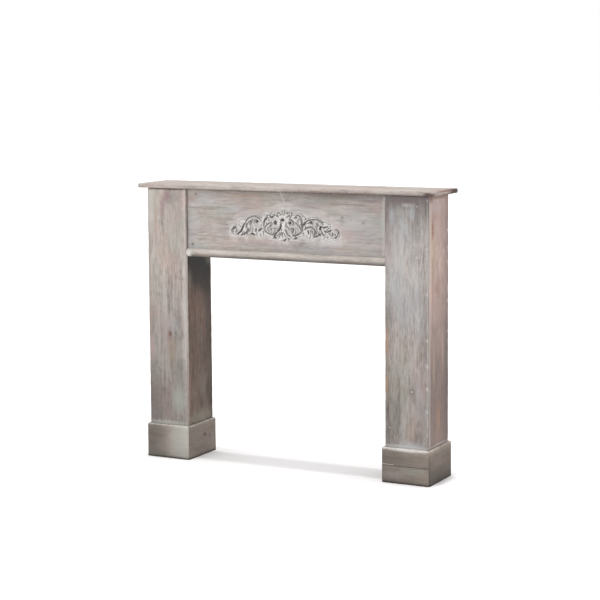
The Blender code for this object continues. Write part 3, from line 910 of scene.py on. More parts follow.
# %% Make the shelf
shelf_low, shelf_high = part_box("shelf")
shelf = block("shelf_finished", shelf_low, shelf_high)
shelf_middle_y = (shelf_low.y + shelf_high.y) / 2
ease_arrises(shelf, 0.0055, 5, lambda corners: min(corner.y for corner in corners) < shelf_middle_y)
cut_long_edges(shelf, CELL)
mark_arrises(shelf, shelf_low, shelf_high, 0.0045)
weather(shelf, 7, "X", edge=0.0016)
SHELF_BROWN = (0.110, 0.062, 0.046, 1)
SHELF_WASH = (0.492, 0.444, 0.412, 1)
NOSE_BROWN = (0.135, 0.102, 0.084, 1)
shelf_wood = board_finish(
    "shelf_wood", "X", 7.0, 0.70, 0.75, 0.9, wash=SHELF_WASH, tints=(0.34, 0.26, 0.0, 0.16),
    stains=[
        ((0.350, -0.097, 0.984), (0.420, 0.020, 0.0095), NOSE_BROWN, 0.82),
        ((0.130, -0.097, 0.986), (0.200, 0.020, 0.0080), NOSE_BROWN, 0.50),
        ((-0.250, -0.097, 0.984), (0.340, 0.020, 0.0065), NOSE_BROWN, 0.38),
        ((0.562, -0.097, 0.989), (0.034, 0.020, 0.0095), SHELF_BROWN, 1.0),
        ((0.562, -0.097, 0.988), (0.028, 0.020, 0.0080), (0.070, 0.052, 0.046, 1), 0.80),
        ((-0.540, -0.097, 0.984), (0.060, 0.020, 0.0060), SHELF_BROWN, 0.40),
        ((0.250, 0.000, 1.000), (0.350, 0.050, 0.004), (0.350, 0.260, 0.235, 1), 0.35),
        ((-0.250, 0.040, 1.000), (0.250, 0.040, 0.004), (0.330, 0.290, 0.265, 1), 0.45),
        ((0.584, 0.000, 0.987), (0.012, 0.110, 0.004), SHELF_BROWN, 0.90),
        # A painted highlight on the front part of the right end face.
        ((0.584, -0.086, 0.990), (0.020, 0.018, 0.012), (0.270, 0.215, 0.205, 1), 0.70),
        ((0.584, 0.000, 0.999), (0.016, 0.110, 0.006), (0.170, 0.078, 0.062, 1), 0.90),
        ((0.584, 0.070, 0.992), (0.024, 0.070, 0.026), (0.085, 0.050, 0.040, 1), 1.0),
        ((0.590, 0.080, 0.992), (0.020, 0.045, 0.026), (0.060, 0.038, 0.031, 1), 0.80),
        ((0.560, 0.000, 1.000), (0.030, 0.110, 0.004), (0.330, 0.215, 0.190, 1), 0.55),
        ((0.300, -0.040, 1.000), (0.090, 0.030, 0.020), PINK, 0.40),
        ((-0.584, 0.000, 0.992), (0.030, 0.110, 0.020), (0.330, 0.330, 0.305, 1), 0.60),
        ((-0.535, -0.097, 0.992), (0.020, 0.020, 0.012), PINK, 0.50),
        ((-0.430, 0.000, 1.000), (0.120, 0.090, 0.020), (0.330, 0.290, 0.260, 1), 0.45),
    ],
    wear=0.12,
)
shade(shelf, shelf_wood)
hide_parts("shelf")
print(f"{shelf.name}: {len(shelf.data.polygons)} faces")

# %% [markdown]
# ## Skirtings
#
# Three mitred skirtings wrap the foot of each leg. Their top edges and corners are rounded and
# rubbed pale, and the right front one also carries a painted highlight along its top. They keep less
# paint than the legs, show little grain, and are darker towards the floor, with a dark line of dirt
# and painted contact shadow along their foot. The front one on the right has a crack along its middle.

# %% Skirting tools
SKIRTING_ROUND = 0.0080
MITRE_GAP = 0.00015
CRACK_Z = 0.0615
CRACK_DEPTH = 0.0016
CRACK_HALF_WIDTH = 0.0016
CRACK_CELL = 0.0009
CRACK_BAND = 0.005
SKIRTING_TOP_Z = 0.123
SKIRTING_WOOD = ((0.090, 0.066, 0.050, 1), (0.215, 0.170, 0.135, 1))
FOOT_STOPS = [(0, 0.70), (0.12, 0.82), (0.35, 0.90), (0.85, 0.93), (1, 1.06)]


def cut_off(obj, point, normal):
    """Cuts an object by a plane, removes what lies on the normal's side and closes the cut."""
    edit(obj, everything, "FACE")
    bpy.ops.mesh.bisect(plane_co=point, plane_no=normal, use_fill=True, clear_outer=True)
    leave_edit()


def crack_height(x):
    """The crack wanders a little along the board."""
    return CRACK_Z + 0.0016 * noise.noise(Vector((x * 22.0, 0.0, 3.0)))


def open_crack(obj, low):
    """Sinks the face along the crack and marks its dark bottom and its pale upper lip."""
    dirt_and_shade = np.zeros(len(obj.data.vertices))
    paint = np.zeros(len(obj.data.vertices))
    for number, vertex in enumerate(obj.data.vertices):
        above = vertex.co.z - crack_height(vertex.co.x)
        near = max(0.0, 1 - abs(above) / CRACK_HALF_WIDTH)
        if near and vertex.co.y < low.y + 0.002:
            vertex.co.y += CRACK_DEPTH * near
            dirt_and_shade[number] = 0.85 * near
        if 0.001 < above < 0.004 and vertex.co.x < 0.43:
            paint[number] = 0.5
    store(obj, "dirt_and_shade", dirt_and_shade)
    store(obj, "paint", paint)


def finished_skirting(node, grain, seed, amount, stops=FOOT_STOPS, across=(), cracked=False, **finish):
    """A skirting with its own finish.

    Stops are its brightness from the floor up, and across holds more tones."""
    finish = {"wash": PLINTH_WASH, "wood": SKIRTING_WOOD, "wear": 0.45, **finish}
    tones = [(UP, 0.0, SKIRTING_TOP_Z, stops), *across]
    material = board_finish(node + "_wood", grain, seed, amount, 0.75, 0.38, tones=tones, **finish)
    low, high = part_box(node)
    leg_low, leg_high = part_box(("right" if low.x > 0 else "left") + "_leg_front")
    obj = block(node + "_finished", low, high)
    front = high.x - low.x > high.y - low.y
    turn = 1 if (low.x + high.x) / 2 > (leg_low.x + leg_high.x) / 2 else -1
    axis, outside = (1, low.y) if front else (0, high.x if turn > 0 else low.x)

    outer_planes = [(axis, outside), (2, high.z)] + ([(0, low.x), (0, high.x)] if front else [(1, low.y)])

    def between_planes(corners):
        """An edge that lies in two of the outer planes."""
        return 2 == sum(
            all(abs(corner[way] - value) < 1e-4 for corner in corners) for way, value in outer_planes
        )

    ease_arrises(obj, SKIRTING_ROUND, 6, between_planes)
    ends = ((leg_low.x, -1), (leg_high.x, 1)) if front else ((leg_high.x if turn > 0 else leg_low.x, turn),)
    for corner_x, way in ends:
        mitre = Vector((way, 1, 0)).normalized() * (1 if front else -1)
        cut_off(obj, Vector((corner_x, leg_low.y, 0)) - mitre * MITRE_GAP, mitre)

    def finer_at_crack(axis, middle):
        return CRACK_CELL if cracked and axis == 2 and abs(middle - CRACK_Z) < 0.006 else CELL

    if cracked:
        for z in (CRACK_Z - CRACK_BAND, CRACK_Z + CRACK_BAND):
            slice_at(obj, (0, 0, z), UP)
    cut_long_edges(obj, CELL, finer_at_crack)
    places = vertex_places(obj)
    from_arris = np.hypot(places[:, 2] - high.z + 0.001, 0.55 * (places[:, axis] - outside))
    store(obj, "arris", np.clip(1.1 - from_arris / 0.009, 0, 1))
    # A dark line along the foot, partly dirt and partly painted contact shadow.
    store(obj, "dirt_and_shade", np.clip(1.5 - places[:, 2] / 0.0065, 0, 1))
    weather(obj, seed, "X" if front else "Y", edge=0.0008)
    if cracked:
        open_crack(obj, low)
    shade(obj, material)
    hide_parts(node)
    print(f"{obj.name}: {len(obj.data.polygons)} faces")


# %% Make the skirtings
FOOT_BROWN = (0.140, 0.112, 0.092, 1)
SKIRTING_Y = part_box("left_skirting_front")[0].y

finished_skirting(
    "left_skirting_front", "X", 8, 0.50, tints=(0.10, 0.45, 0.0, 0.15),
    across=[
        (RIGHTWARDS, -0.561, -0.381, [
            (0, 0.57), (0.2, 0.62), (0.4, 0.84), (0.6, 1.18), (0.8, 1.34), (1, 1.76),
        ]),
    ],
    stains=on_face("Y", SKIRTING_Y, 0.03, [
        (-0.405, 0.065, 0.075, 0.120, (0.350, 0.385, 0.355, 1), 0.48),
        (-0.470, 0.000, 0.120, 0.010, SMOKE, 0.45),
    ]),
)
finished_skirting(
    "left_skirting_inner", "Y", 9, 0.28, tints=(0.10, 0.20, 0.0, 0.20),
    stops=[(0, 0.86), (0.4, 0.98), (0.8, 0.93), (1, 0.97)],
    stains=[((-0.381, 0.096, 0.080), (0.03, 0.030, 0.070), SMOKE, 0.30)],
    knots=[
        ((-0.381, 0.0177, 0.0745), (0.006, 0.0085, 0.0055), 0.0, DARK_STAIN_AND_SHADE, 0.62),
        ((-0.381, 0.0520, 0.0640), (0.006, 0.0090, 0.0038), 0.0, SMOKE, 0.55),
    ],
)
finished_skirting("left_skirting_outer", "Y", 10, 0.34)
finished_skirting(
    "right_skirting_front", "X", 11, 0.40, tints=(0.10, 0.15, 0.0, 0.15), cracked=True, wear=1.0,
    stops=[(0, 0.62), (0.15, 0.78), (0.45, 0.88), (0.53, 0.78), (0.75, 0.82), (0.9, 0.98), (1, 1.10)],
    across=[(RIGHTWARDS, 0.381, 0.561, [(0, 0.77), (0.3, 0.88), (0.8, 1.10), (1, 1.12)])],
    stains=on_face("Y", SKIRTING_Y, 0.03, [
        (0.440, 0.085, 0.060, 0.018, FOOT_BROWN, 0.45),
        (0.520, 0.098, 0.040, 0.010, FOOT_BROWN, 0.35),
        (0.430, 0.030, 0.060, 0.018, (0.300, 0.250, 0.235, 1), 0.45),
        # A painted highlight along the rounded top edge.
        (0.480, 0.119, 0.100, 0.008, (0.600, 0.585, 0.570, 1), 0.75),
        (0.500, 0.045, 0.070, 0.016, GREEN, 0.30),
    ]),
)
finished_skirting(
    "right_skirting_outer", "Y", 12, 0.28, tints=(0.25, 0.10, 0.0, 0.20), wash=(0.335, 0.284, 0.236, 1),
    stops=[(0, 0.33), (0.2, 0.42), (0.5, 0.61), (0.8, 0.70), (1, 1.24)],
)
finished_skirting("right_skirting_inner", "Y", 13, 0.32)

# %% [markdown]
# ## The onlay's strokes
#
# The onlay is drawn as strokes, in shares of its half width: spiral volutes, ribbons along Bezier
# arcs and pointed leaf lobes. One half is drawn and the other mirrored. Each point of a stroke is
# its place and its half width. Last come the carver's grooves, which differ from side to side:
# each row is a depth from zero to one, a half width, and the points that the groove runs through.

# %% Stroke tools
ONLAY_HALF_WIDTH = 0.220
SPIRAL_STEP = 9.0
ARC_POINTS = 18
PETAL_POINTS = 12

frieze_low, frieze_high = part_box("frieze_board")
bead_low, bead_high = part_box("frieze_bead")
ONLAY_CENTRE = Vector((0.0, frieze_low.y - 0.0003, 0.864))


def volute(centre, radii, angles, widths):
    steps = max(2, math.ceil(abs(angles[1] - angles[0]) / SPIRAL_STEP))
    stroke = []
    for step in range(steps + 1):
        share = step / steps
        angle = math.radians(angles[0] + (angles[1] - angles[0]) * share)
        radius = radii[0] * (radii[1] / radii[0]) ** share
        width = widths[0] + (widths[1] - widths[0]) * share
        stroke.append((centre[0] + radius * math.cos(angle), centre[1] + radius * math.sin(angle), width))
    return stroke


def petal(root, angle, length, width, curl=0.0):
    stroke = []
    x, z = root
    step_length = length / (PETAL_POINTS - 1)
    for step in range(PETAL_POINTS):
        share = step / (PETAL_POINTS - 1)
        stroke.append((x, z, width * math.sin(math.pi * (0.14 + 0.82 * share)) ** 0.7))
        heading = math.radians(angle + curl * share)
        x += step_length * math.cos(heading)
        z += step_length * math.sin(heading)
    return stroke


def fan(root, middle_angle, spread, lengths, width):
    return [petal(root, middle_angle - spread * number, size, width) for number, size in enumerate(lengths)]


def ribbon(*arcs):
    stroke = []
    for *ends, widths in arcs:
        path = interpolate_bezier(*(Vector((*point, 0)) for point in ends), ARC_POINTS)
        for step, point in enumerate(path[1:] if stroke else path):
            share = (step + (1 if stroke else 0)) / (ARC_POINTS - 1)
            stroke.append((point.x, point.y, widths[0] + (widths[1] - widths[0]) * share))
    return stroke


def mirrored(strokes):
    return [[(-x, z, width) for x, z, width in stroke] for stroke in strokes]


def both_halves(strokes):
    """The strokes and, for those off the middle line, their mirror images."""
    beside = [stroke for stroke in strokes if max(abs(x) for x, z, width in stroke) > 0.001]
    return strokes + mirrored(beside)


# %% Draw the leaves and scrolls
leaves = [
    *fan((0.0, 0.110), 90.0, 25.0, (0.145, 0.145, 0.130, 0.115, 0.095), 0.030),
    *fan((0.0, -0.105), -90.0, -27.0, (0.150, 0.155, 0.150, 0.130), 0.032),
    petal((0.065, 0.085), -80.0, 0.110, 0.020, 25.0),
    petal((0.105, 0.075), 150.0, 0.080, 0.020, 30.0),
    petal((0.265, -0.120), -25.0, 0.095, 0.022, 60.0),
    petal((0.190, -0.150), -75.0, 0.075, 0.020, 50.0),
    petal((0.095, 0.080), 52.0, 0.150, 0.027, -35.0),
    petal((0.185, 0.040), 68.0, 0.155, 0.029, -30.0),
    petal((0.350, 0.030), 72.0, 0.135, 0.025, 30.0),
    petal((0.300, 0.040), 120.0, 0.080, 0.020, -40.0),
    petal((0.400, 0.010), 40.0, 0.085, 0.022, -60.0),
    petal((0.395, -0.040), -80.0, 0.125, 0.027, -35.0),
    petal((0.455, -0.040), -88.0, 0.145, 0.028, -25.0),
    petal((0.520, -0.045), -92.0, 0.140, 0.027, -15.0),
    petal((0.640, 0.020), -120.0, 0.100, 0.024, 30.0),
    petal((0.655, 0.020), 35.0, 0.140, 0.030, -50.0),
    petal((0.690, -0.040), 22.0, 0.155, 0.029, 30.0),
    petal((0.735, -0.105), 28.0, 0.135, 0.027, 45.0),
    petal((0.685, -0.045), -75.0, 0.150, 0.030, -35.0),
    petal((0.760, -0.120), -60.0, 0.085, 0.022, 40.0),
]
stem = [ribbon(((0.0, 0.070), (0.0, 0.030), (0.0, -0.060), (0.0, -0.130), (0.020, 0.024)))]
scrolls = [
    volute((0.0, 0.092), (0.036, 0.036), (-90.0, 270.0), (0.016, 0.016)),
    ribbon(((0.045, 0.070), (0.030, -0.030), (0.050, -0.060), (0.120, -0.115), (0.024, 0.026)),
           ((0.120, -0.115), (0.155, -0.140), (0.190, -0.150), (0.165, -0.200), (0.026, 0.014))),
    ribbon(((0.190, -0.146), (0.310, -0.150), (0.360, -0.040), (0.275, 0.012), (0.027, 0.027)),
           ((0.275, 0.012), (0.220, 0.055), (0.190, 0.105), (0.130, 0.112), (0.027, 0.022))),
    volute((0.137, 0.065), (0.048, 0.016), (95.0, 400.0), (0.022, 0.013)),
    volute((0.150, -0.070), (0.042, 0.018), (-60.0, 220.0), (0.022, 0.013)),
    ribbon(((0.340, -0.070), (0.325, 0.040), (0.360, 0.185), (0.265, 0.185), (0.026, 0.021))),
    volute((0.257, 0.152), (0.034, 0.013), (80.0, 360.0), (0.021, 0.013)),
    ribbon(
        ((0.345, -0.060), (0.355, 0.060), (0.430, 0.124), (0.530, 0.122), (0.024, 0.028)),
        ((0.530, 0.122), (0.640, 0.115), (0.685, 0.050), (0.715, -0.015), (0.028, 0.034)),
        ((0.715, -0.015), (0.745, -0.085), (0.790, -0.150), (0.870, -0.168), (0.034, 0.024)),
    ),
    volute((0.508, 0.050), (0.062, 0.017), (55.0, -300.0), (0.022, 0.014)),
    ribbon(
        ((0.335, -0.085), (0.400, -0.015), (0.480, -0.000), (0.545, -0.022), (0.026, 0.027)),
        ((0.545, -0.022), (0.610, -0.050), (0.600, -0.100), (0.575, -0.150), (0.027, 0.010)),
    ),
    volute((0.905, -0.098), (0.071, 0.020), (-128.0, 275.0), (0.026, 0.016)),
]
print("strokes:", len(both_halves(leaves)), "leaves and", len(both_halves(scrolls)), "scrolls")


# %% Draw the carver's grooves
def groove(half_width, *points):
    """A smooth stroke through a few points, tapered at both ends."""
    knots = [Vector((*point, 0)) for point in points]
    runs = [(after - before) / 2 for before, after in zip(knots, knots[2:])]
    runs = [knots[1] - knots[0], *runs, knots[-1] - knots[-2]]
    path = []
    for number in range(len(knots) - 1):
        start, end = knots[number], knots[number + 1]
        arc = interpolate_bezier(start, start + runs[number] / 3, end - runs[number + 1] / 3, end, 5)
        path += arc[1:] if path else arc
    shares = [step / (len(path) - 1) for step in range(len(path))]
    widths = [half_width * math.sin(math.pi * (0.16 + 0.68 * share)) for share in shares]
    return [(point.x, point.y, width) for point, width in zip(path, widths)]


middle_grooves = [
    (0.90, 0.020, (-0.041, 0.092), (0.009, 0.099)),
    (0.85, 0.014, (-0.042, 0.044), (-0.044, 0.001), (-0.058, -0.045), (-0.105, -0.099)),
    (0.70, 0.011, (-0.105, -0.099), (-0.155, -0.145), (-0.176, -0.199)),
    (0.85, 0.026, (-0.151, 0.061), (-0.146, 0.024)),
    (0.70, 0.009, (-0.218, 0.014), (-0.248, -0.020)),
    (0.55, 0.008, (-0.242, -0.028), (-0.229, -0.077)),
    (0.35, 0.006, (-0.179, -0.050), (-0.142, -0.045)),
    (0.45, 0.008, (-0.345, -0.019), (-0.327, -0.081), (-0.266, -0.127), (-0.165, -0.147)),
    (0.75, 0.012, (-0.298, 0.125), (-0.334, 0.084), (-0.352, 0.036)),
    (0.45, 0.008, (-0.352, 0.036), (-0.357, 0.007), (-0.345, -0.023)),
    (0.45, 0.008, (-0.204, 0.047), (-0.274, 0.024), (-0.325, -0.018)),
    (0.70, 0.010, (-0.248, 0.164), (-0.221, 0.132), (-0.178, 0.147), (-0.162, 0.174)),
    (0.35, 0.007, (-0.308, 0.160), (-0.248, 0.173)),
    (0.75, 0.010, (-0.117, 0.195), (-0.082, 0.211)),
    (0.60, 0.009, (-0.127, 0.171), (-0.093, 0.146)),
    (0.45, 0.008, (0.047, 0.201), (0.095, 0.211)),
    (0.70, 0.010, (0.127, 0.219), (0.147, 0.194), (0.136, 0.158), (0.118, 0.122)),
    (0.45, 0.008, (0.062, 0.142), (0.099, 0.170)),
    (0.35, 0.006, (-0.012, 0.232), (-0.017, 0.179)),
    (0.35, 0.006, (-0.057, 0.213), (-0.042, 0.169)),
    (0.35, 0.006, (0.028, 0.225), (0.012, 0.171)),
    (0.85, 0.020, (0.098, 0.061), (0.130, 0.039)),
    (0.60, 0.010, (0.108, 0.104), (0.158, 0.086), (0.183, 0.054), (0.165, 0.016)),
    (0.45, 0.009, (0.054, 0.051), (0.046, 0.000), (0.060, -0.023)),
    (0.50, 0.010, (0.043, -0.058), (0.065, -0.110), (0.106, -0.160)),
    (0.55, 0.009, (0.117, -0.057), (0.156, -0.037), (0.180, -0.063), (0.156, -0.099)),
    (0.50, 0.008, (0.210, 0.062), (0.269, 0.020), (0.308, -0.032), (0.320, -0.082)),
    (0.60, 0.009, (0.320, -0.082), (0.263, -0.127), (0.163, -0.146)),
    (0.60, 0.015, (0.217, 0.148), (0.237, 0.135)),
    (0.50, 0.008, (0.217, 0.156), (0.255, 0.180), (0.306, 0.148), (0.328, 0.094)),
    (0.70, 0.010, (0.329, 0.107), (0.333, 0.015), (0.342, -0.055)),
    (0.75, 0.010, (-0.171, -0.163), (-0.144, -0.202)),
    (0.80, 0.010, (-0.001, -0.237), (0.052, -0.206)),
    (0.70, 0.009, (0.086, -0.190), (0.105, -0.216)),
    (0.75, 0.010, (0.181, -0.203), (0.223, -0.188), (0.211, -0.159)),
    (0.50, 0.007, (-0.030, -0.100), (-0.060, -0.159), (-0.086, -0.203)),
    (0.50, 0.007, (-0.015, -0.104), (-0.019, -0.166)),
    (0.45, 0.007, (0.005, -0.103), (0.039, -0.155), (0.064, -0.185)),
    (0.40, 0.007, (-0.060, -0.106), (-0.111, -0.170)),
]
left_grooves = [
    (0.75, 0.013, (-0.931, -0.082), (-0.874, -0.049)),
    (0.70, 0.010, (-0.894, -0.018), (-0.869, -0.059)),
    (0.40, 0.007, (-0.941, -0.082), (-0.936, -0.125), (-0.899, -0.156)),
    (0.85, 0.014, (-0.700, 0.016), (-0.733, -0.054), (-0.772, -0.116), (-0.835, -0.161)),
    (0.50, 0.007, (-0.659, -0.013), (-0.674, 0.049), (-0.646, 0.092), (-0.591, 0.126)),
    (0.50, 0.008, (-0.591, 0.126), (-0.523, 0.137), (-0.452, 0.117), (-0.396, 0.074)),
    (0.45, 0.008, (-0.601, 0.061), (-0.610, 0.006)),
    (0.45, 0.007, (-0.560, 0.091), (-0.581, 0.012)),
    (0.75, 0.020, (-0.495, 0.060), (-0.469, 0.050)),
    (0.40, 0.008, (-0.587, -0.034), (-0.611, -0.085), (-0.608, -0.140)),
    (0.50, 0.009, (-0.500, -0.068), (-0.502, -0.108)),
    (0.75, 0.011, (-0.390, -0.056), (-0.448, -0.096)),
    (0.80, 0.012, (-0.645, -0.076), (-0.663, -0.124), (-0.720, -0.155), (-0.772, -0.175)),
    (0.85, 0.013, (-0.608, -0.155), (-0.554, -0.148), (-0.514, -0.159)),
]
right_grooves = [
    (0.85, 0.017, (0.360, 0.028), (0.397, 0.072)),
    (0.50, 0.008, (0.397, 0.072), (0.444, 0.107), (0.521, 0.116), (0.589, 0.126)),
    (0.55, 0.009, (0.589, 0.126), (0.651, 0.094), (0.709, 0.054)),
    (0.70, 0.018, (0.475, 0.078), (0.501, 0.067)),
    (0.60, 0.010, (0.385, -0.034), (0.443, -0.005), (0.500, -0.003), (0.544, -0.028)),
    (0.60, 0.010, (0.544, -0.028), (0.566, -0.073), (0.559, -0.116)),
    (0.80, 0.010, (0.443, -0.060), (0.450, -0.107)),
    (0.50, 0.007, (0.503, -0.049), (0.520, -0.086), (0.533, -0.127)),
    (0.90, 0.017, (0.661, 0.016), (0.643, -0.030)),
    (0.50, 0.008, (0.598, 0.065), (0.595, -0.044), (0.588, -0.105)),
    (0.80, 0.011, (0.530, -0.157), (0.605, -0.140)),
    (0.85, 0.014, (0.636, -0.099), (0.629, -0.133)),
    (0.60, 0.009, (0.663, -0.041), (0.684, -0.082), (0.719, -0.120)),
    (0.60, 0.009, (0.672, 0.010), (0.738, 0.001), (0.786, 0.018)),
    (0.65, 0.010, (0.731, -0.053), (0.783, -0.066), (0.840, -0.033)),
    (0.80, 0.013, (0.861, -0.078), (0.864, -0.114)),
    (0.50, 0.008, (0.890, -0.025), (0.949, -0.030), (0.964, -0.079), (0.948, -0.129)),
    (0.55, 0.009, (0.948, -0.129), (0.922, -0.151), (0.891, -0.152)),
    (0.60, 0.011, (0.774, -0.153), (0.782, -0.155)),
]
rows = middle_grooves + left_grooves + right_grooves
grooves = [(depth, groove(half_width, *points)) for depth, half_width, *points in rows]
print("grooves:", len(grooves))

# %% [markdown]
# ## Carving the onlay
#
# A section is swept along each stroke. Scrolls have a hollow channel between two rims, and leaves
# have a sharp vein. The sweeps overlap, so a fine voxel remesh melts them into one carving with
# soft inner corners, and it is then cut flat where it lies on the frieze.

# %% Sweep and melt the strokes
ONLAY_RELIEF = 1.15
ONLAY_ROOT = 0.6
ONLAY_TRIANGLES = 185000
SCROLL_SECTION = [
    (-1.0, 0.30), (-0.95, 0.66), (-0.84, 0.93), (-0.68, 1.0), (-0.50, 0.84), (-0.30, 0.52), (0.0, 0.40),
]
LEAF_SECTION = [
    (-1.0, 0.28), (-0.90, 0.62), (-0.70, 0.90), (-0.46, 1.0), (-0.24, 0.88), (-0.09, 0.62), (0.0, 0.42),
]
ROUND_SECTION = [(-1.0, 0.35), (-0.92, 0.62), (-0.70, 0.85), (-0.38, 0.97), (0.0, 1.0)]


def section_curve(name, half):
    """A closed section from its left half. Heights are shares of the relief, and a root goes behind."""
    outline = [(-1.0, -ONLAY_ROOT)] + [(across, out * ONLAY_RELIEF) for across, out in half]
    outline += [(-across, out * ONLAY_RELIEF) for across, out in half[-2::-1]] + [(1.0, -ONLAY_ROOT)]
    curve = bpy.data.curves.new(name, "CURVE")
    curve.dimensions = "2D"
    spline = curve.splines.new("POLY")
    spline.points.add(len(outline) - 1)
    for point, (across, out) in zip(spline.points, outline):
        point.co = (across, out, 0, 1)
    spline.use_cyclic_u = True
    return new_object(name, curve)


def sweep(strokes, section, carving):
    """Sweeps the section along every stroke and adds the closed shapes to a bmesh."""
    for stroke in both_halves(strokes):
        curve = bpy.data.curves.new("stroke", "CURVE")
        curve.dimensions = "2D"
        curve.bevel_mode = "OBJECT"
        curve.bevel_object = section
        curve.use_fill_caps = True
        spline = curve.splines.new("POLY")
        spline.points.add(len(stroke) - 1)
        for point, (x, z, width) in zip(spline.points, stroke):
            point.co = (x, z, 0, 1)
            point.radius = width
        path = new_object("stroke", curve)
        bpy.context.view_layer.update()
        mesh = bpy.data.meshes.new_from_object(path.evaluated_get(bpy.context.evaluated_depsgraph_get()))
        carving.from_mesh(mesh)
        bpy.data.objects.remove(path, do_unlink=True)
        bpy.data.meshes.remove(mesh)


def apply_modifiers(obj):
    select_only(obj)
    for modifier in list(obj.modifiers):
        bpy.ops.object.modifier_apply(modifier=modifier.name)


carving = bmesh.new()
for strokes, half_section, label in (
    (scrolls, SCROLL_SECTION, "scroll_section"),
    (leaves, LEAF_SECTION, "leaf_section"),
    (stem, ROUND_SECTION, "stem_section"),
):
    guide = section_curve(label, half_section)
    sweep(strokes, guide, carving)
    bpy.data.objects.remove(guide, do_unlink=True)
bmesh.ops.remove_doubles(carving, verts=carving.verts, dist=1e-6)
stand = Matrix.Translation(ONLAY_CENTRE) @ Matrix.Rotation(math.radians(90), 4, "X")
bmesh.ops.transform(carving, matrix=stand @ Matrix.Scale(ONLAY_HALF_WIDTH, 4), verts=carving.verts)
bmesh.ops.recalc_face_normals(carving, faces=carving.faces)
onlay_mesh = bpy.data.meshes.new("carved_ornament_finished")
carving.to_mesh(onlay_mesh)
carving.free()
onlay = new_object("carved_ornament_finished", onlay_mesh)

melt = onlay.modifiers.new("melt", "REMESH")
melt.mode = "VOXEL"
melt.voxel_size = 0.00055
soften = onlay.modifiers.new("soften", "SMOOTH")
soften.factor = 0.5
soften.iterations = 3
apply_modifiers(onlay)
cut_off(onlay, ONLAY_CENTRE, Vector((0, 1, 0)))
thin = onlay.modifiers.new("thin", "DECIMATE")
thin.ratio = min(1.0, ONLAY_TRIANGLES / triangles(onlay))
apply_modifiers(onlay)
print("onlay:", triangles(onlay), "triangles")

# %% [markdown]
# ## Dark lines of the carving
#
# Dirt and dark wax stay in the grooves, a little in the channels of the scrolls and on the board
# close to the carving, and painted shade darkens the same lines, while the rims and the board round
# the onlay are painted white. The gap from a point to the strokes is measured for the onlay's and
# the frieze's vertices alike.


# %% Measure distances to the strokes
def measure(places, strokes):
    """Each point's distance to the nearest stroke's edge, in metres, and to its middle, in half widths."""
    across = places[:, 0] / ONLAY_HALF_WIDTH
    up = (places[:, 2] - ONLAY_CENTRE.z) / ONLAY_HALF_WIDTH
    edge_gap = np.full(len(across), 9.0)
    middle_share = np.full(len(across), 9.0)
    for stroke in strokes:
        for (x0, z0, w0), (x1, z1, w1) in zip(stroke, stroke[1:]):
            reach = max(w0, w1) + 0.09
            run_x, run_z = x1 - x0, z1 - z0
            near_x = np.abs(across - (x0 + x1) / 2) < reach + abs(run_x)
            near_z = np.abs(up - (z0 + z1) / 2) < reach + abs(run_z)
            near = np.nonzero(near_x & near_z)[0]
            along = (across[near] - x0) * run_x + (up[near] - z0) * run_z
            share = along / max(run_x**2 + run_z**2, 1e-12)
            share = np.clip(share, 0, 1)
            gap = np.hypot(across[near] - x0 - share * run_x, up[near] - z0 - share * run_z)
            width = w0 + (w1 - w0) * share
            edge_gap[near] = np.minimum(edge_gap[near], gap - width)
            middle_share[near] = np.minimum(middle_share[near], gap / width)
    return edge_gap * ONLAY_HALF_WIDTH, middle_share


def fade(values, none, full):
    """A smooth step from zero at none to one at full."""
    share = np.clip((values - none) / (full - none), 0, 1)
    return share * share * (3 - 2 * share)


def line_darkness(places):
    """How dark the carving's lines are: the channels of the scrolls, and the grooves."""
    channel = fade(measure(places, both_halves(scrolls))[1], 0.46, 0.14)
    cut = np.zeros(len(places))
    for depth, stroke in grooves:
        cut = np.maximum(cut, depth**0.45 * fade(measure(places, [stroke])[0], 0.0019, -0.0002))
    return channel, cut


places = vertex_places(onlay)
channel, cut = line_darkness(places)
CUT_SHARE = 0.75
SMOOTHING_ROUNDS = 14
relief = ONLAY_CENTRE.y - places[:, 1]
places[:, 1] += relief * CUT_SHARE * cut * (relief > 0.0002)
onlay.data.vertices.foreach_set("co", places.ravel())
onlay.data.update()
# Dark wax and painted shade in the scroll channels and in the grooves.
store(onlay, "dirt_and_shade", np.maximum(0.34 * channel, cut))

pairs = np.empty(len(onlay.data.edges) * 2, dtype=np.int64)
onlay.data.edges.foreach_get("vertices", pairs)
pairs = pairs.reshape(-1, 2)
links = np.bincount(pairs.ravel(), minlength=len(places)).astype(float)
smooth = relief.copy()
for _ in range(SMOOTHING_ROUNDS):
    total = np.bincount(pairs[:, 0], smooth[pairs[:, 1]], len(places))
    total = total + np.bincount(pairs[:, 1], smooth[pairs[:, 0]], len(places))
    smooth = 0.4 * smooth + 0.6 * total / links
store(onlay, "hollow", np.clip((smooth - relief) / 0.0009, -1, 1) * 0.5 + 0.5)
print(f"relief {relief.max() * 1000:.1f} mm, dark share {(channel > 0.5).mean():.2f}")

# %% Finish the onlay
onlay_material, tree, shader, place = new_material("rubbed_white_carving")
hollow = add_node(tree, "ShaderNodeAttribute", attribute_name="hollow").outputs["Fac"]
marks = use_group(tree, marks_group, {"Place": place, "Wear": 0.0})
mottle = noise_of(place, 150.0, 4.0, 0.6)
colour = mix_colour(remap(mottle, 0.35, 0.65), (0.52, 0.50, 0.48, 1), (0.70, 0.685, 0.665, 1))
rubbed = plus(hollow, times(minus(mottle, 0.5), 0.6))
colour = mix_colour(times(remap(rubbed, 0.30, 0.10), 0.35), colour, (0.30, 0.25, 0.215, 1))
place_y = split(place)["Y"]
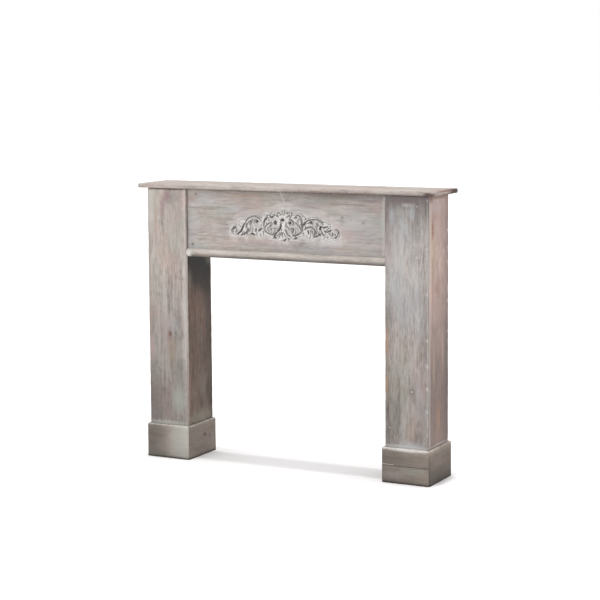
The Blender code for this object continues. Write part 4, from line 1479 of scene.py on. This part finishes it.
# Dark wax in the hollows, and painted shade low on the carving, close to the board.
shaded_foot = remap(place_y, ONLAY_CENTRE.y - 0.0020, ONLAY_CENTRE.y - 0.0004)
wax_and_shade = maths("MAXIMUM", remap(hollow, 0.62, 0.95), shaded_foot)
colour = mix_colour(times(wax_and_shade, 0.65), colour, (0.115, 0.100, 0.090, 1))
# The channel and groove lines: dark wax and painted shade.
colour = mix_colour(marks["Dirt and shade"], colour, DARK_STAIN_AND_SHADE)
link(colour, shader.inputs["Base Color"])
shader.inputs["Roughness"].default_value = 0.7
shader.inputs["Specular IOR Level"].default_value = 0.3
bump = add_node(tree, "ShaderNodeBump", {"Strength": 0.3, "Distance": 0.0006, "Height": mottle})
link(bump.outputs["Normal"], shader.inputs["Normal"])
shade(onlay, onlay_material, 60)
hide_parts("carved_ornament")
print("onlay finish:", len(tree.nodes), "nodes")

# %% [markdown]
# ## Frieze
#
# Round the onlay the white paint lies thicker, as if brushed on with it, and a thin dark line of
# dirt and painted shade follows the carving's foot. Painted shadow of the shelf darkens the board's
# top. A few brush marks and scratches cross the board. The grid is finer behind the onlay, to hold
# those lines.

# %% Make the frieze board
frieze = block("frieze_board_finished", frieze_low, frieze_high)
ease_arrises(frieze, 0.0012, 2)
FINE_HALF_X = 0.242
FINE_Z = (0.795, 0.935)
FINE_CELL = 0.0017
PLAIN_CELL = 0.0045
for x in (-FINE_HALF_X, FINE_HALF_X):
    slice_at(frieze, (x, 0, 0), RIGHTWARDS)
for z in FINE_Z:
    slice_at(frieze, (0, 0, z), UP)


def frieze_cell(axis, middle):
    fine = (axis == 0 and abs(middle) < FINE_HALF_X) or (axis == 2 and FINE_Z[0] < middle < FINE_Z[1])
    return FINE_CELL if fine else PLAIN_CELL


cut_long_edges(frieze, CELL, frieze_cell)
mark_arrises(frieze, frieze_low, frieze_high, 0.004)
weather(frieze, 14, "X", flat=0.00022, edge=0.0004)
places = vertex_places(frieze)
outline = measure(places, both_halves(leaves + scrolls + stem))[0]
channel, cut = line_darkness(places)
ragged = np.array([
    noise.noise(Vector(point) * 55.0) + 0.5 * noise.noise(Vector(point) * 170.0) for point in places
])
in_front = places[:, 1] < frieze_low.y + FACE_REACH
halo = fade(outline + 0.005 * ragged, 0.0095, 0.0030)
veil = fade(outline + 0.018 * ragged - 0.010 * (places[:, 2] > ONLAY_CENTRE.z), 0.030, 0.004)
store(frieze, "paint", in_front * np.maximum(0.90 * halo, 0.34 * veil))
# A thin dark line of dirt and painted shade at the carving's foot, and dark wax and painted shade in the
# grooves.
store(frieze, "dirt_and_shade", in_front * np.maximum(0.38 * fade(outline, 0.0022, 0.0004), cut))
brush_marks(frieze, "XZ", [
    ((-0.014, 0.982), (0.002, 0.945), 0.0016, 0.55),
    ((0.050, 0.928), (0.150, 0.914), 0.0080, 0.32),
    ((0.110, 0.905), (0.210, 0.880), 0.0080, 0.32),
    ((0.160, 0.812), (0.215, 0.814), 0.0130, 0.32),
    ((0.180, 0.806), (0.235, 0.820), 0.0070, 0.30),
    ((0.384, 0.780), (0.386, 0.970), 0.0070, 0.40),
], frieze_low.y)
frieze_wood = board_finish(
    "frieze_wood", "X", 14.0, 0.68, 0.86, 0.85, tints=(0.42, 0.42, 0.36, 0.20),
    tones=[
        (RIGHTWARDS, -0.392, 0.392, [(0, 1.13), (0.3, 1.03), (0.55, 1.02), (0.85, 1.05), (1, 0.94)]),
        # Painted shade: darker towards the top, under the shelf.
        (UP, 0.77, 0.984, [(0, 0.98), (0.75, 1.01), (0.93, 0.88), (1, 0.80)]),
    ],
    stains=on_face("Y", FRONT_Y, 0.05, [
        # Painted shadow of the shelf: a dark line along the top.
        (0.000, 0.985, 0.900, 0.0070, DARK_STAIN_AND_SHADE, 0.70),
        (0.330, 0.960, 0.060, 0.006, (0.150, 0.112, 0.110, 1), 0.55),
        (0.240, 0.947, 0.080, 0.004, (0.170, 0.130, 0.128, 1), 0.45),
        (0.310, 0.925, 0.070, 0.004, (0.200, 0.150, 0.145, 1), 0.40),
        (0.345, 0.870, 0.040, 0.012, (0.300, 0.225, 0.220, 1), 0.45),
        # A band of painted shadow under the shelf, stronger towards the right.
        (0.250, 0.975, 0.280, 0.020, (0.130, 0.100, 0.095, 1), 0.55),
        (0.378, 0.890, 0.014, 0.080, (0.390, 0.400, 0.365, 1), 0.50),
        (0.300, 0.860, 0.130, 0.100, BLUE, 0.30),
        (-0.020, 0.790, 0.220, 0.025, (0.250, 0.228, 0.226, 1), 0.30),
        (-0.150, 0.965, 0.090, 0.012, OCHRE, 0.22),
        (-0.392, 0.870, 0.007, 0.200, SMOKE, 0.30),
        (0.300, 0.850, 0.060, 0.035, SMOKE, 0.15),
        (-0.080, 0.808, 0.150, 0.016, PINK, 0.45),
        (0.050, 0.800, 0.040, 0.014, SMOKE, 0.25),
        (0.190, 0.812, 0.055, 0.020, (0.500, 0.520, 0.535, 1), 0.50),
        (-0.250, 0.905, 0.060, 0.035, GREEN, 0.30),
    ]),
    knots=[
        ((-0.370, frieze_low.y, 0.785), (0.005, 0.006, 0.004), 0.0, SMOKE, 0.60),
        ((-0.355, frieze_low.y, 0.965), (0.004, 0.006, 0.003), 0.0, SMOKE, 0.45),
        ((0.2250, frieze_low.y, 0.901), (0.006, 0.006, 0.004), 0.0, SMOKE, 0.40),
        ((0.3050, frieze_low.y, 0.884), (0.006, 0.006, 0.003), 0.0, SMOKE, 0.35),
    ],
    wear=0.15,
)
shade(frieze, frieze_wood)
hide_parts("frieze_board")
print("frieze:", triangles(frieze), "triangles")

# %% [markdown]
# ## Bead
#
# A half round runs along the frieze's lower edge. Its section is drawn, extruded from leg to leg,
# cut into short lengths and made lumpy, as its thick cream paint is. The paint is worn off below,
# and painted shade darkens the underside further while the top is painted bright, as light from
# above falls.

# %% Make the bead
BEAD_STEPS = 12
BEAD_CELL = 0.004
bead_middle_z = (bead_low.z + bead_high.z) / 2
half_height = (bead_high.z - bead_low.z) / 2
projection = bead_high.y - bead_low.y
section = [(bead_high.y, bead_low.z), (bead_high.y, bead_high.z)]
for step in range(BEAD_STEPS + 1):
    angle = math.radians(83 - 166 * step / BEAD_STEPS)
    z = bead_middle_z + half_height * math.sin(angle)
    section.append((bead_high.y - projection * math.cos(angle), z))
bead_mesh = bpy.data.meshes.new("frieze_bead_finished")
bead_mesh.from_pydata([(bead_low.x, y, z) for y, z in section], [], [list(range(len(section)))])
bead = new_object("frieze_bead_finished", bead_mesh)
edit(bead, everything, "FACE")
bpy.ops.mesh.extrude_region_move(TRANSFORM_OT_translate={"value": (bead_high.x - bead_low.x, 0, 0)})
bpy.ops.mesh.select_all(action="SELECT")
bpy.ops.mesh.normals_make_consistent(inside=False)
leave_edit()
cut_long_edges(bead, BEAD_CELL)
places = vertex_places(bead)
store(bead, "arris", np.zeros(len(places)))
# A dark lower edge, partly dirt and partly painted shade.
store(bead, "dirt_and_shade", 0.40 * fade(places[:, 2], bead_low.z + 0.004, bead_low.z))
weather(bead, 15, "X", flat=0.0008)
BEAD_WASH = (0.660, 0.610, 0.560, 1)
BEAD_STAIN_Y = -0.08
bead_wood = board_finish(
    "bead_wood", "X", 15.0, 0.74, 0.70, 0.85, wash=BEAD_WASH, tints=(0.05, 0.08, 0.0, 0.12),
    # Worn paint and painted light: dark below and bright on top.
    tones=[(UP, bead_low.z, bead_high.z, [
        (0, 0.19), (0.25, 0.34), (0.5, 0.70), (0.68, 0.92), (1, 1.00),
    ])],
    stains=on_face("Y", BEAD_STAIN_Y, 0.05, [
        (0.000, bead_low.z + 0.003, 0.350, 0.008, FOOT_BROWN, 0.35),
        (0.250, bead_low.z + 0.006, 0.120, 0.008, FOOT_BROWN, 0.45),
        (-0.345, bead_low.z + 0.012, 0.010, 0.006, RUST, 0.45),
        (-0.310, bead_low.z + 0.008, 0.030, 0.005, OCHRE, 0.45),
        (-0.384, bead_low.z + 0.012, 0.020, 0.022, PALE, 0.85),
    ]),
    wear=0.0,
)
shade(bead, bead_wood)
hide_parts("frieze_bead")
print("bead:", len(bead.data.polygons), "faces")

# %% [markdown]
# ## Studio
#
# White walls all round give a soft even light. Two high lamps, tilted a little to the front and to
# the back, drop a wide soft-edged shadow of the shelf on the floor. A large weak lamp in front keeps
# the carving readable.

# %% Light the scene
world = bpy.data.worlds.new("studio")
scene.world = world
world.use_nodes = True
walls = world.node_tree.nodes["Background"]
walls.inputs["Color"].default_value = (1.0, 1.0, 1.0, 1)
walls.inputs["Strength"].default_value = 1.0

OVERHEAD_ENERGY = 0.75
for tilt in (2.5, -1.3):
    bpy.ops.object.light_add(type="SUN", location=(0, 0, 4))
    overhead = bpy.context.object
    overhead.data.energy = OVERHEAD_ENERGY
    overhead.data.angle = math.radians(1.8)
    overhead.rotation_euler = (math.radians(tilt), 0, 0)

bpy.ops.object.light_add(type="AREA", location=(-1.6, -3.0, 2.4))
front_lamp = bpy.context.object
front_lamp.data.energy = 16
front_lamp.data.size = 1.6
lamp_aim = Vector((0, 0, 0.7)) - front_lamp.location
front_lamp.rotation_euler = lamp_aim.to_track_quat("-Z", "Y").to_euler()

bpy.ops.object.select_all(action="DESELECT")
bpy.ops.mesh.primitive_plane_add(size=40, location=(0, 0, 0))
floor = bpy.context.object
floor.name = "studio_floor"
floor_material = bpy.data.materials.new("white_floor")
floor_material.use_nodes = True
floor_shader = floor_material.node_tree.nodes["Principled BSDF"]
floor_shader.inputs["Base Color"].default_value = (0.9, 0.885, 0.89, 1)
floor_shader.inputs["Roughness"].default_value = 0.9
floor_shader.inputs["Specular IOR Level"].default_value = 0.0
floor.data.materials.append(floor_material)
print("lights: two of", OVERHEAD_ENERGY, "overhead and one of", front_lamp.data.energy, "W in front")
